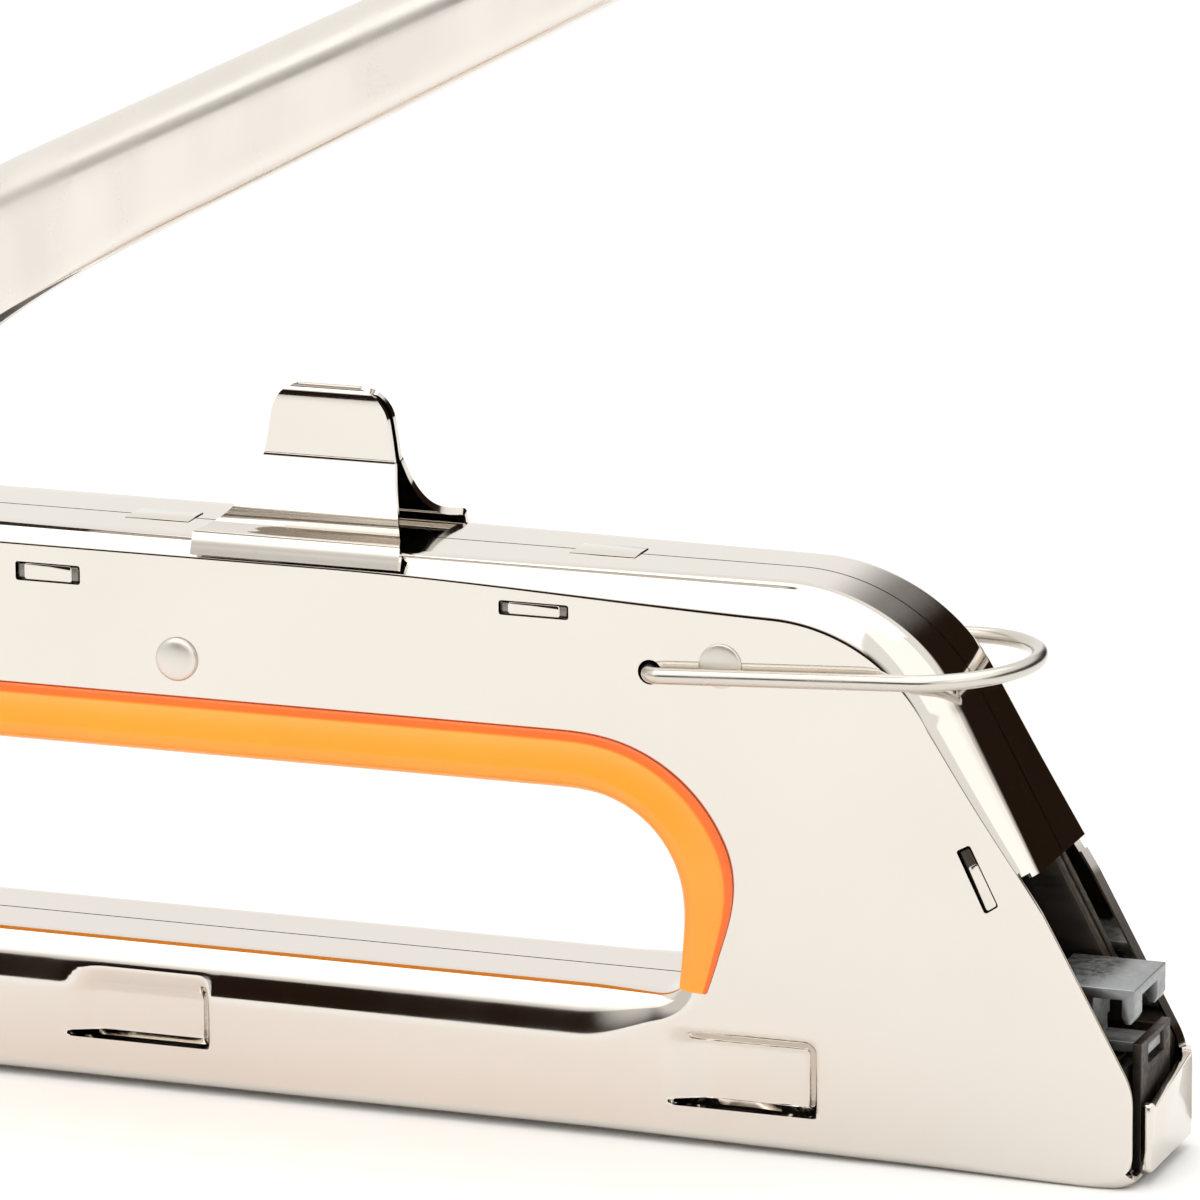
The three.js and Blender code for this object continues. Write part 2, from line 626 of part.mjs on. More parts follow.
// Rail that carries the staples and pulls out to the rear.
function pusherRail() {
  let made = channel(-84.9, RAIL_FRONT_X, RAIL_HALF, CHANNEL_LOW_Z + 0.2, RAIL_TOP_Z, RAIL_SHEET);
  made = made.subtract(block([-70, -0.9, RAIL_TOP_Z - 2], [78, 0.9, RAIL_TOP_Z + 2]));
  return toMesh("pusher_rail", made, STEEL);
}

// Thumb catch that closes the rear of the magazine.
function pusherCap() {
  const shape = new THREE.Shape();
  shape.moveTo(-87, 3.4);
  shape.quadraticCurveTo(-87, 2.4, -86, 2.4);
  shape.lineTo(-85.2, 2.4);
  shape.lineTo(-85.2, 14.6);
  shape.lineTo(-86, 14.6);
  shape.quadraticCurveTo(-87, 14.6, -87, 13.6);
  shape.lineTo(-87, 3.4);
  return toMesh("pusher_cap", plate(shape, -8, 8), BLACK);
}

// Rod inside the follower spring.
function guideRod() {
  return toMesh("guide_rod", barX(-84.8, 80, 0, ROD_Z, ROD_R, 12), ZINC);
}

// Follower that rides on the rail and pushes the staples forward.
function follower() {
  let made = channel(57, 81.5, 5.5, 4.4, 11.6, 0.6);
  const tongue = block([58, -0.6, 8], [60, 0.6, 11.3]);
  const eye = block([58, -1.6, 4.6], [60, 1.6, 8.4]);
  made = made.add(tongue).add(eye);
  made = made.subtract(barX(50, 90, 0, ROD_Z, ROD_R + 0.1, 12));
  return toMesh("follower", made, ZINC);
}

// Cup that holds the top of the main spring.
function springSeat() {
  const bridge = block([43.6, -8.1, 58.1], [52.6, 8.1, 59.3]);
  return toMesh("spring_seat", bridge.add(barZ(48.4, 56.8, 58.6, 2.8)), STEEL);
}

// Round bar along Z in the middle plane.
function barZ(x, lowZ, highZ, radius) {
  const made = new THREE.CylinderGeometry(radius, radius, highZ - lowZ, 16);
  made.rotateX(Math.PI / 2);
  made.translate(x, 0, (lowZ + highZ) / 2);
  return toSolid(made);
}

// Rubber stop below the hammer arm.
function buffer() {
  const face = outline([[46, 28], [46, 36.2], [48.5, 34.8], [57.5, 27.3], [57.5, 24]]);
  return toMesh("buffer", plate(face, -6.5, 6.5), BLACK);
}

// Spacer that fills the heel between the shells.
function heelBlock() {
  const made = block([-82.5, -8.2, 20], [-74, 8.2, 40]);
  return toMesh("heel_spacer", made, BLACK);
}

const pair = shellPair();
const gun = new THREE.Group();
gun.name = "staple_gun";
gun.add(rightShell(pair));
gun.add(leftShell(pair));
gun.add(gripTrim());
gun.add(domedPin("fulcrum_pin", FULCRUM_X, FULCRUM_Z, PIN_HEAD_RISE));
gun.add(domedPin("front_pin", FRONT_PIN_X, FRONT_PIN_Z, LOW_HEAD_RISE));
gun.add(leverPin());
gun.add(clip("rear_clip", [-40.5, 56.2], [-32.9, 58.3]));
gun.add(clip("middle_clip", [15.4, 56.8], [23.3, 58.4]));
gun.add(noseLiner("right_nose_liner", -1));
gun.add(noseLiner("left_nose_liner", 1));
gun.add(stapleChannel());
gun.add(noseGuide());
gun.add(springSeat());
gun.add(buffer());
gun.add(heelBlock());
gun.add(hammerArm());
gun.add(driverBlade());
gun.add(mainSpring());
gun.add(lever());
gun.add(leverBracket());
gun.add(camRoller());
gun.add(rollerPin());
gun.add(returnSpring());
gun.add(lockBail());
gun.add(powerSaddle());
gun.add(pusherRail());
gun.add(pusherCap());
gun.add(guideRod());
gun.add(follower());
gun.add(followerSpring());

export default gun;
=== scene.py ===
import json
import math
from contextlib import contextmanager

import bmesh
import bpy
import numpy as np
from mathutils import Matrix, Vector


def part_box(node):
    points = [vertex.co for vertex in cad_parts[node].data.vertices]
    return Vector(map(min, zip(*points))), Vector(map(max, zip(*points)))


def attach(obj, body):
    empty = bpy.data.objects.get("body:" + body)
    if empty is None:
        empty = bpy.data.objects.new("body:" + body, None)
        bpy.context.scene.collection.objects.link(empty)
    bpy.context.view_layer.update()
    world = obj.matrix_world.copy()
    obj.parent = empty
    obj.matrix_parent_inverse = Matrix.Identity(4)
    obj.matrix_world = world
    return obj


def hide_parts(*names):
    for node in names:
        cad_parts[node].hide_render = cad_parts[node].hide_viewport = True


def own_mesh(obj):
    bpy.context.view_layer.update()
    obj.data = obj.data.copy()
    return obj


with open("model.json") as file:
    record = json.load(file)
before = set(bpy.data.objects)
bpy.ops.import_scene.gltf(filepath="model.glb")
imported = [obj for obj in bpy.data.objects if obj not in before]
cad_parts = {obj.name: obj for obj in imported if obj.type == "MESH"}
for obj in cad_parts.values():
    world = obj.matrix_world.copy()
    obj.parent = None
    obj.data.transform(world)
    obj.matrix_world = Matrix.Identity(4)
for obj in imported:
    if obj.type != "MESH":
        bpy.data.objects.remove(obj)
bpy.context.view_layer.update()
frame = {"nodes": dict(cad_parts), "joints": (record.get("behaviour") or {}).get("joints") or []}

bl_info = {
    "name": "Hand Staple Gun",
    "version": (1, 0, 0),
    "blender": (4, 5, 0),
    "location": "View3D > Sidebar > Staple Gun",
    "description": "Builds the pressed steel staple gun piece by piece around its moving frame",
    "category": "Object",
}

MM = 0.001
SHARP_ANGLE = math.radians(38)
BEVEL_ANGLE = math.radians(35)
SOLID_BEVEL_ANGLE = math.radians(32)
DISSOLVE_ANGLE = math.radians(1.5)
WELD = 2e-6
QUARTER = math.pi / 2


# ---------------------------------------------------------------- outlines

SEARCH_PLACES = 6000


def rounded(corners, radii, step=0.4):
    """Closed polyline through corners, each corner replaced by a circular arc of its radius.

    The arc touches both sides at radius times the tangent of half the turning angle from the corner.
    """
    pts = np.array(corners, float)
    line = []
    for before, here, after, radius in zip(np.roll(pts, 1, 0), pts, np.roll(pts, -1, 0), radii):
        back, ahead = before - here, after - here
        back, ahead = back / np.hypot(*back), ahead / np.hypot(*ahead)
        turn = math.pi - math.acos(np.clip(back @ ahead, -1, 1))
        reach = radius * math.tan(turn / 2)
        middle = here + (back + ahead) / np.hypot(*(back + ahead)) * math.hypot(radius, reach)
        start, end = here + back * reach - middle, here + ahead * reach - middle
        t = np.linspace(0, 1, max(3, int(radius * turn / step) + 2))[:, None]
        swing = np.sin((1 - t) * turn) * start + np.sin(t * turn) * end
        line.append(middle + swing / math.sin(turn))
    return np.concatenate(line)


def measured(line):
    """Distances along a closed polyline up to its points, and the points with the first again at the end."""
    whole = np.vstack([line, line[:1]])
    return np.concatenate([[0], np.cumsum(np.hypot(*np.diff(whole, axis=0).T))]), whole


def along(line, places):
    """Points of a closed polyline at the given distances, by straight interpolation."""
    length, whole = measured(line)
    return np.stack([np.interp(places, length, whole[:, k]) for k in range(2)], -1)


def nearest_length(line, spot):
    """Distance along a closed polyline of its point nearest to spot, among many evenly spaced ones."""
    dense = np.linspace(0, measured(line)[0][-1], SEARCH_PLACES)
    return dense[np.argmin(np.hypot(*(along(line, dense) - np.array(spot)).T))]


def smooth_step(x, low, high):
    """0 before low, 1 after high, and a cubic ease between them."""
    t = np.clip((np.asarray(x, float) - low) / (high - low), 0, 1)
    return t * t * (3 - 2 * t)


def side_normals(line, closed=True):
    """Unit normals of a polyline, a quarter turn from its direction, by central differences."""
    if closed:
        ahead = np.roll(line, -1, 0) - np.roll(line, 1, 0)
    else:
        ahead = np.gradient(line, axis=0)
    ahead = ahead / np.maximum(np.hypot(*ahead.T)[:, None], 1e-9)
    return np.stack([-ahead[:, 1], ahead[:, 0]], -1)


# ---------------------------------------------------------------- meshes

DOME_STEPS = 6
COIL_STEPS = 26
CLOSED_TURN = 0.6


def grid_mesh(name, points, wrap_columns=False, keep=None, uv=None):
    """Mesh of quads over a grid of points (rows, columns, 3) in millimetres.

    Vertex (i, j) joins (i+1, j), (i+1, j+1) and (i, j+1). keep picks quads, uv holds two numbers a vertex.
    """
    rows, columns = points.shape[:2]
    j = np.arange(columns if wrap_columns else columns - 1)
    i, j = np.meshgrid(np.arange(rows - 1), j, indexing="ij")
    if keep is not None:
        i, j = i[keep], j[keep]
    i, j = i.ravel(), j.ravel()
    here, below, beside = i * columns, (i + 1) * columns, (j + 1) % columns
    quads = np.stack([here + j, below + j, below + beside, here + beside], -1)
    mesh = bpy.data.meshes.new(name)
    mesh.vertices.add(rows * columns)
    mesh.vertices.foreach_set("co", (points.reshape(-1) * MM).astype(np.float32))
    mesh.loops.add(quads.size)
    mesh.loops.foreach_set("vertex_index", quads.reshape(-1).astype(np.int32))
    mesh.polygons.add(len(quads))
    mesh.polygons.foreach_set("loop_start", np.arange(0, quads.size, 4, dtype=np.int32))
    mesh.update(calc_edges=True)
    if uv is not None:
        layer = mesh.uv_layers.new(name="surface")
        layer.data.foreach_set("uv", uv.reshape(-1, 2)[quads.reshape(-1)].reshape(-1).astype(np.float32))
    mesh.validate()
    return mesh


@contextmanager
def opened(mesh):
    """Opens a mesh for editing and writes it back afterwards."""
    work = bmesh.new()
    work.from_mesh(mesh)
    yield work
    work.to_mesh(mesh)
    work.free()


def tidy(mesh, merge=1e-6, outward=True, fill=False):
    """Merges doubled vertices, drops loose ones, closes ends if asked and turns the faces outward."""
    with opened(mesh) as work:
        bmesh.ops.remove_doubles(work, verts=work.verts, dist=merge)
        bmesh.ops.delete(work, geom=[v for v in work.verts if not v.link_faces], context="VERTS")
        if fill:
            bmesh.ops.holes_fill(work, edges=work.edges, sides=0)
        if outward:
            bmesh.ops.recalc_face_normals(work, faces=work.faces)


def turn_out(mesh):
    """Turns all faces over if, weighted by area, the side walls look towards the middle plane."""
    count = len(mesh.polygons)
    normals, centres, areas = np.zeros(count * 3), np.zeros(count * 3), np.zeros(count)
    mesh.polygons.foreach_get("normal", normals)
    mesh.polygons.foreach_get("center", centres)
    mesh.polygons.foreach_get("area", areas)
    if np.sum(centres[1::3] * normals[1::3] * areas) < 0:
        mesh.flip_normals()


def piece(name, mesh, material, body, slot, *nodes):
    """Object for a finished mesh that rides on a body and stands for the named nodes."""
    made = bpy.data.objects.new(name, mesh)
    bpy.context.scene.collection.objects.link(made)
    mesh.materials.clear()
    mesh.materials.append(material)
    mesh.shade_smooth()
    mesh.set_sharp_from_angle(angle=SHARP_ANGLE)
    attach(made, body)
    if nodes:
        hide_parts(*nodes)
    return made


def baked(mesh, modifiers):
    """Mesh after a list of (type, settings) modifiers, worked out once."""
    holder = bpy.data.objects.new("work", mesh)
    bpy.context.scene.collection.objects.link(holder)
    for kind, settings in modifiers:
        step = holder.modifiers.new(kind.lower(), kind)
        for key, value in settings.items():
            setattr(step, key, value)
    bpy.context.view_layer.update()
    result = bpy.data.meshes.new_from_object(holder.evaluated_get(bpy.context.evaluated_depsgraph_get()))
    bpy.data.objects.remove(holder)
    return result


def sheet(mesh, thickness):
    """Gives a surface the thickness of its sheet in metres, inwards, with closed rims."""
    return baked(mesh, [("SOLIDIFY", {"thickness": thickness, "offset": -1.0, "use_even_offset": False})])


def bevelled(mesh, width, angle, **settings):
    """Rounds a mesh's edges above an angle by a bevel of the width in millimetres."""
    settings.update({"width": width * MM, "segments": 2, "limit_method": "ANGLE", "angle_limit": angle})
    return baked(mesh, [("BEVEL", settings)])


def tube(path, radius, sides, plane):
    """Round wire: each path point carries a circle of the radius in the plane across the path.

    The circle's two axes are the given plane normal and its cross product with the path's direction.
    Both ends are domes whose radius grows as the sine of an angle.
    """
    ahead = np.gradient(path, axis=0)
    ahead /= np.linalg.norm(ahead, axis=1)[:, None]
    first = plane - (np.sum(plane * ahead, 1))[:, None] * ahead
    first /= np.linalg.norm(first, axis=1)[:, None]
    second = np.cross(ahead, first)
    angle = np.linspace(0, QUARTER, DOME_STEPS)
    dome, lean = np.sin(angle), radius * (1 - np.cos(angle))
    head = path[0] + ahead[0] * lean[:, None]
    tail = path[-1] - ahead[-1] * lean[::-1][:, None]
    size = np.concatenate([radius * dome, np.full(len(path) - 2, float(radius)), radius * dome[::-1]])
    path = np.vstack([head, path[1:-1], tail])
    first, second = (
        np.vstack([np.repeat(way[:1], DOME_STEPS, 0), way[1:-1], np.repeat(way[-1:], DOME_STEPS, 0)])
        for way in (first, second)
    )
    turn = np.linspace(0, 2 * math.pi, sides, endpoint=False)
    ring = np.cos(turn)[None, :, None] * first[:, None] + np.sin(turn)[None, :, None] * second[:, None]
    return path[:, None] + ring * size[:, None, None]


def lathe(profile, centre, sides=56):
    """Profile of (radius, y) pairs turned about a Y line through centre (x, z)."""
    turn = np.linspace(0, 2 * math.pi, sides, endpoint=False)
    radius, level = profile[:, 0][:, None], profile[:, 1][:, None]
    x = centre[0] + radius * np.cos(turn)
    z = centre[1] + radius * np.sin(turn)
    return np.stack([x, np.broadcast_to(level, x.shape), z], -1)


def coil(start, axis, side, radius, turns, length, wire):
    """Helix and its spokes: the angle grows evenly with t, the rise is even but for closed end turns."""
    third = np.cross(axis, side)
    t = np.linspace(0, 1, int(turns * COIL_STEPS) + 1)
    angle = 2 * math.pi * turns * t
    tight, pitch = CLOSED_TURN / turns, wire * 1.1 / length
    rise = np.interp(t, [0, tight, 1 - tight, 1], [0, pitch, 1 - pitch, 1]) * length
    spoke = np.cos(angle)[:, None] * side + np.sin(angle)[:, None] * third
    return start + rise[:, None] * axis + radius * spoke, spoke


# ---------------------------------------------------------------- materials

class Nodes:
    """Node tree under construction, with helpers that add and join nodes."""

    def __init__(self, tree):
        self.tree = tree

    def node(self, kind, settings=None, **sockets):
        """Adds a node. Sockets are numbers, colours or outputs, by input name or by place as i0, i1, i2."""
        made = self.tree.nodes.new(kind)
        for key, value in (settings or {}).items():
            setattr(made, key, value)
        for key, value in sockets.items():
            self.feed(made.inputs[int(key[1:]) if key[1:].isdigit() else key], value)
        return made

    def feed(self, socket, value):
        """Joins an output to a socket, or sets the socket to a number or colour."""
        if isinstance(value, bpy.types.NodeSocket):
            self.tree.links.new(value, socket)
        else:
            socket.default_value = value

    def ramp(self, factor, stops):
        """Colour ramp between two (place, colour) stops."""
        made = self.node("ShaderNodeValToRGB", Fac=factor)
        for step, (place, colour) in zip(made.color_ramp.elements, stops):
            step.position = place
            step.color = (*colour, 1)
        return made.outputs["Color"]

    def grade(self, factor, low, high, from_low=0.0, from_high=1.0, ease="LINEAR"):
        """Rescaling of a number from one range to another, straight or eased."""
        settings = {"interpolation_type": ease}
        sockets = {"i0": factor, "i1": from_low, "i2": from_high, "i3": low, "i4": high}
        return self.node("ShaderNodeMapRange", settings, **sockets).outputs[0]

    def combine(self, operation, *inputs):
        """Number worked out from others by a math node."""
        sockets = {f"i{index}": value for index, value in enumerate(inputs)}
        return self.node("ShaderNodeMath", {"operation": operation}, **sockets).outputs[0]


class Look(Nodes):
    """Material under construction: one shader and the patterns that feed it."""

    def __init__(self, name, colour, metallic, roughness):
        self.material = bpy.data.materials.new(name)
        self.material.use_nodes = True
        super().__init__(self.material.node_tree)
        self.shader = self.tree.nodes["Principled BSDF"]
        self.shader.inputs["Metallic"].default_value = metallic
        self.shader.inputs["Roughness"].default_value = roughness
        self.shader.inputs["Base Color"].default_value = (*colour, 1)
        self.place = self.node("ShaderNodeTexCoord").outputs["Object"]

    def noise(self, scale, detail=4.0, stretch=(1, 1, 1)):
        """Cloudy pattern on Object coordinates, stretched along an axis where a factor is below one."""
        turned = self.node("ShaderNodeMapping", Vector=self.place, Scale=stretch).outputs[0]
        return self.node("ShaderNodeTexNoise", Vector=turned, Scale=scale, Detail=detail).outputs["Fac"]

    def mix(self, factor, first, second):
        """Blends two colours by a factor."""
        return self.node("ShaderNodeMix", {"data_type": "RGBA"}, i0=factor, i6=first, i7=second).outputs[2]

    def put(self, name, output):
        """Joins an output to the shader's named socket."""
        self.tree.links.new(output, self.shader.inputs[name])

    def bump(self, height, depth, strength):
        """Raises and sinks the surface by a pattern, depth in metres."""
        made = self.node("ShaderNodeBump", Height=height, Distance=depth, Strength=strength)
        self.put("Normal", made.outputs[0])

    def sharpness(self, low, high, from_low, from_high):
        """Rescaled pointedness of the mesh: below a half in sharp hollows, above it on sharp outer edges."""
        lean = self.node("ShaderNodeNewGeometry").outputs["Pointiness"]
        return self.grade(lean, low, high, from_low, from_high)


def shade(colour, factor, lift=0.0):
    """Colour with each channel multiplied by a factor and lifted."""
    return tuple(min(1, channel * factor + lift) for channel in colour)


def chrome_plate(name, colour, polish=0.06):
    """Polished chrome plate with faint pressing waves, handling smears and painted shade that darkens its
    sharp creases towards brown.
    """
    look = Look(name, colour, 1.0, polish)
    cloud = look.noise(38.0, 5.0)
    smear = look.noise(120.0, 6.0, (1, 1, 0.25))
    rough = look.combine("MULTIPLY", cloud, smear)
    look.put("Roughness", look.grade(rough, polish * 0.6, polish * 1.9, 0.1, 0.45))
    tint = look.ramp(cloud, [(0.3, shade(colour, 0.965)), (0.7, colour)])
    # Painted shade: sharp hollows, found by pointiness, darken towards a brown as if they lay in shade.
    crease_shade = look.sharpness(0.8, 0.0, 0.38, 0.47)
    look.put("Base Color", look.mix(crease_shade, tint, (0.16, 0.11, 0.075, 1)))
    fine = look.noise(900.0, 3.0)
    wave = look.noise(30.0, 2.0)
    look.bump(look.combine("MULTIPLY_ADD", wave, 6.0, fine), 0.0000035, 0.35)
    return look.material


def brushed_steel(name, colour, roughness=0.36, grain=(0.06, 1, 1), dark=0.7):
    """Plain steel with drawn grain along X, faint oil stains and lighter rubbed edges."""
    look = Look(name, colour, 1.0, roughness)
    lines = look.noise(1500.0, 3.0, grain)
    stain = look.noise(90.0, 6.0)
    tone = look.ramp(stain, [(0.3, shade(colour, dark)), (0.65, colour)])
    rubbed = look.sharpness(0.0, 1.0, 0.525, 0.60)
    look.put("Base Color", look.mix(rubbed, tone, (*shade(colour, 1.35), 1)))
    look.put("Roughness", look.grade(lines, roughness - 0.1, roughness + 0.14, 0.3, 0.7))
    look.bump(lines, 0.00001, 0.5)
    return look.material


def grip_plastic(name, face, rim, deep):
    """Moulded orange plastic with a fine leather grain, a lighter crown and a deeper rim."""
    look = Look(name, face, 0.0, 0.34)
    unwrapped = look.node("ShaderNodeUVMap", {"uv_map": "surface"}).outputs[0]
    across = look.node("ShaderNodeSeparateXYZ", Vector=unwrapped).outputs["Y"]
    band = look.grade(across, 0.0, 1.0, 0.80, 0.86)
    cloud = look.noise(70.0, 5.0)
    tone = look.ramp(cloud, [(0.3, shade(face, 0.94)), (0.7, face)])
    edge = look.ramp(cloud, [(0.3, deep), (0.7, rim)])
    look.put("Base Color", look.mix(band, tone, edge))
    grain = look.noise(2600.0, 4.0)
    look.put("Roughness", look.grade(grain, 0.28, 0.44, 0.3, 0.7))
    for socket, value in (
        ("Coat Weight", 0.25), ("Coat Roughness", 0.15),
        ("Subsurface Weight", 0.06), ("Subsurface Radius", (0.003, 0.0012, 0.0004)),
    ):
        look.shader.inputs[socket].default_value = value
    look.bump(grain, 0.00002, 0.4)
    return look.material


def black_moulding(name, colour, roughness):
    """Dark moulded plastic or rubber with a fine spark-eroded grain and dusty high spots."""
    look = Look(name, colour, 0.0, roughness)
    grain = look.noise(1800.0, 5.0)
    dust = look.noise(60.0, 6.0)
    look.put("Base Color", look.ramp(dust, [(0.35, colour), (0.8, shade(colour, 1.9, 0.01))]))
    look.put("Roughness", look.grade(grain, roughness - 0.1, roughness + 0.1, 0.3, 0.7))
    look.bump(grain, 0.00004, 0.5)
    return look.material


def studio_floor(name, colour):
    """Pale matt paper with a faint cloud."""
    look = Look(name, colour, 0.0, 0.9)
    cloud = look.noise(3.0, 2.0)
    look.put("Base Color", look.ramp(cloud, [(0.3, shade(colour, 0.99)), (0.7, colour)]))
    return look.material


LOOKS = {}


def get_look(key):
    """Material of the given finish, made once with the panel's colours."""
    if key not in LOOKS:
        paint = bpy.context.scene.staple_finish
        makers = {
            "shell": lambda: chrome_plate("shell_chrome", paint.chrome),
            "lever": lambda: chrome_plate("lever_chrome", paint.lever, 0.2),
            "wire": lambda: chrome_plate("bail_wire", paint.wire, 0.2),
            "rivet": lambda: chrome_plate("rivet_plate", paint.chrome, 0.3),
            "steel": lambda: brushed_steel("bare_steel", paint.steel),
            # The dark look is also painted shade for the bare-steel parts inside the nose.
            "dark": lambda: brushed_steel("dark_steel", paint.dark_steel, 0.45),
            # The zinc colour is darkened as painted shade for the hammer arm.
            "zinc": lambda: brushed_steel("cast_zinc", paint.zinc, 0.42, (1, 1, 1), 0.85),
            "spring": lambda: brushed_steel("spring_wire", paint.spring, 0.35, (1, 1, 0.1)),
            "grip": lambda: grip_plastic("grip_orange", paint.grip, paint.grip_rim, paint.grip_deep),
            "black": lambda: black_moulding("black_plastic", paint.black, 0.5),
            "rubber": lambda: black_moulding("black_rubber", paint.black, 0.75),
            "floor": lambda: studio_floor("paper", paint.floor),
        }
        LOOKS[key] = makers[key]()
    return LOOKS[key]


# ---------------------------------------------------------------- pressed shells

def body_outline():
    """Side outline of the body with its round corners, from the rear foot forwards along the foot."""
    corners = [(-85, 0.8), (26, 0.8), (87, -0.05), (87, 11.4), (59.57, 62.2), (-85, 62.2)]
    return rounded(corners, [2.2, 40, 3.6, 9, 22.6, 7], 0.3)


def opening_outline():
    """Outline of the finger opening, in the same turning sense as the body outline."""
    low, high, front, rear = 16.4, 39.4, 37.0, -70.0
    return rounded([(rear, low), (front, low), (front, high), (rear, high)], [3, 4.5, 13, 13], 0.3)


# Matching corners of the body and of its opening, and the number of columns from each to the next.
BODY_MARKS = ((-85, 0.8), (86.2, 0.6), (60, 58), (-83, 60))
OPENING_MARKS = ((-69.2, 17.2), (35.8, 17.6), (33, 35.5), (-66, 35.5))
RING_COUNTS = (276, 130, 210, 76)


def matched_rings():
    """Body and opening outlines cut into four stretches at matching corners and sampled with equal counts."""
    rings = []
    for line, marks in ((body_outline(), BODY_MARKS), (opening_outline(), OPENING_MARKS)):
        total = measured(line)[0][-1]
        cuts = [nearest_length(line, spot) for spot in marks]
        origin = cuts[0]
        cuts = [(cut - origin) % total for cut in cuts] + [total]
        stretches = zip(cuts, cuts[1:], RING_COUNTS)
        places = np.concatenate([np.linspace(*ends, count, endpoint=False) for *ends, count in stretches])
        rings.append(along(line, (places + origin) % total))
    return rings


FLAT_ROWS = 34
EDGE_ROWS = 18
FLAT_SIDE = 5.9

# Each pocket along X: where its rear ramp starts and ends, where its front wall starts and ends.
# Then along Z: its foot, where its roof starts and ends, and its depth.
POCKETS = (
    (-36.4, -31.2, -20.3, -18.6, 5.8, 10.2, 13.6, 1.8),
    (33.5, 38.4, 49.3, 51.2, 5.0, 11.2, 13.3, 1.8),
)


def press_depth(x, z):
    """Depth of the pressed-in pockets at (x, z): for each a product of eased ramps along X and Z."""
    depth = np.zeros_like(x)
    for rear, flat_rear, flat_front, front, low, roof, high, sink in POCKETS:
        lengthwise = smooth_step(x, rear, flat_rear) * (1 - smooth_step(x, flat_front, front))
        upright = smooth_step(z, low - 0.5, low + 0.2) * (1 - smooth_step(z, roof, high))
        depth = np.maximum(depth, sink * lengthwise * upright)
    return depth


# Bends of the shell sheet: shares of the way, the tilt there in degrees, the steps, and those that are kept.
BAR_BEND = ([0, 0.02, 0.50, 0.88, 0.96, 1.0], [0, 7, 21, 41, 72, 90], 29, slice(None, None, 2))
EDGE_STEPS = [0, 1, 2, 4, 8, 12, 15, 18, 21, 24]
EDGE_BEND = ([0, 0.03, 0.09, 0.62, 0.84, 1.0], [0, 8, 25, 42, 70, 90], 25, EDGE_STEPS)


def bend_profile(shares, degrees, count, kept):
    """Bend of a sheet's edge: distances down the side and inward, in units of the way down.

    Short steps add up whose tilt grows through the given degrees to a right angle.
    """
    tilt = np.radians(np.interp(np.linspace(0, 1, count), shares, degrees))
    middle = 0.5 * (tilt[1:] + tilt[:-1])
    down, inward = (np.concatenate([[0], np.cumsum(part)]) for part in (np.cos(middle), np.sin(middle)))
    return (down / down[-1])[kept], (inward / down[-1])[kept]


def shell_surface(size):
    """Outer face of the right half shell.

    Columns run round the outline. Rows run from the seam over the outer edge round, across the flat
    side and over the bend of the opening back to the seam. A row of an edge lies at the ring moved
    by rise * (1 - down), at the level half width - rise * inward. Flat rows blend the two rings.
    """
    outer, inner = matched_rings()
    out_n, in_n = side_normals(outer), -side_normals(inner)
    x, z = outer[:, 0], outer[:, 1]
    front = smooth_step(x, -5, 56) * np.clip((z - 30) / 20, 0, 1)
    nose = smooth_step(x, 60, 80) * (1 - smooth_step(z, 30, 46))
    foot = (1 - smooth_step(z, 2, 6)) * (1 - smooth_step(x, 80, 86))
    edge = 2.1 + 1.8 * front - 0.6 * nose - 0.9 * foot
    along_bar = smooth_step(inner[:, 0], -69, -57) * (1 - 0.82 * smooth_step(inner[:, 0], 24, 36.5))
    low_side = 1 - smooth_step(inner[:, 1], 16.8, np.where(inner[:, 0] < 0, 27.0, 21.0))
    bend = 1.6 + 4.1 * low_side * along_bar
    half, seam = size.half_width / MM, size.seam / MM
    rings, levels = [], []
    for line, normal, rise, plan in ((outer, out_n, edge, EDGE_BEND), (inner, in_n, bend, BAR_BEND)):
        down, inward = bend_profile(*plan)
        level = half - rise * inward[::-1, None]
        flange = np.minimum(np.array([[seam], [3.0], [6.0]]), level[0] - 0.05 * np.array([[3], [2], [1]]))
        turned = line + normal * (rise * (1 - down)[::-1, None])[..., None]
        rings.append(np.concatenate([np.repeat(line[None], len(flange), 0), turned]))
        levels.append(np.concatenate([flange, level]))
    mix = np.linspace(0, 1, FLAT_ROWS + 2)[1:-1, None, None]
    flat_xz = rings[0][-1] * (1 - mix) + rings[1][-1] * mix
    xz = np.concatenate([rings[0], flat_xz, rings[1][::-1]])
    level = np.concatenate([levels[0], np.full(flat_xz.shape[:2], half), levels[1][::-1]])
    return np.stack([xz[..., 0], -level, xz[..., 1]], -1)


def faces_in_box(mesh, work, low, high):
    """Faces of the flat side, in an open copy of the mesh, whose centre lies in an XZ box."""
    centre = np.empty(len(mesh.polygons) * 3)
    mesh.polygons.foreach_get("center", centre)
    x, y, z = centre.reshape(-1, 3).T / MM
    picked = (np.abs(y) > FLAT_SIDE) & (x > low[0]) & (x < high[0]) & (z > low[1]) & (z < high[1])
    work.faces.ensure_lookup_table()
    return [work.faces[index] for index in np.flatnonzero(picked)]


def split_faces(work, faces, spot, away):
    """Splits faces by a plane and gives all of them back, in their new parts."""
    edges = list({edge for face in faces for edge in face.edges})
    verts = list({vert for face in faces for vert in face.verts})
    split = bmesh.ops.bisect_plane(work, geom=verts + edges + faces, dist=1e-8, plane_co=spot, plane_no=away)
    return [item for item in split["geom"] if isinstance(item, bmesh.types.BMFace)]


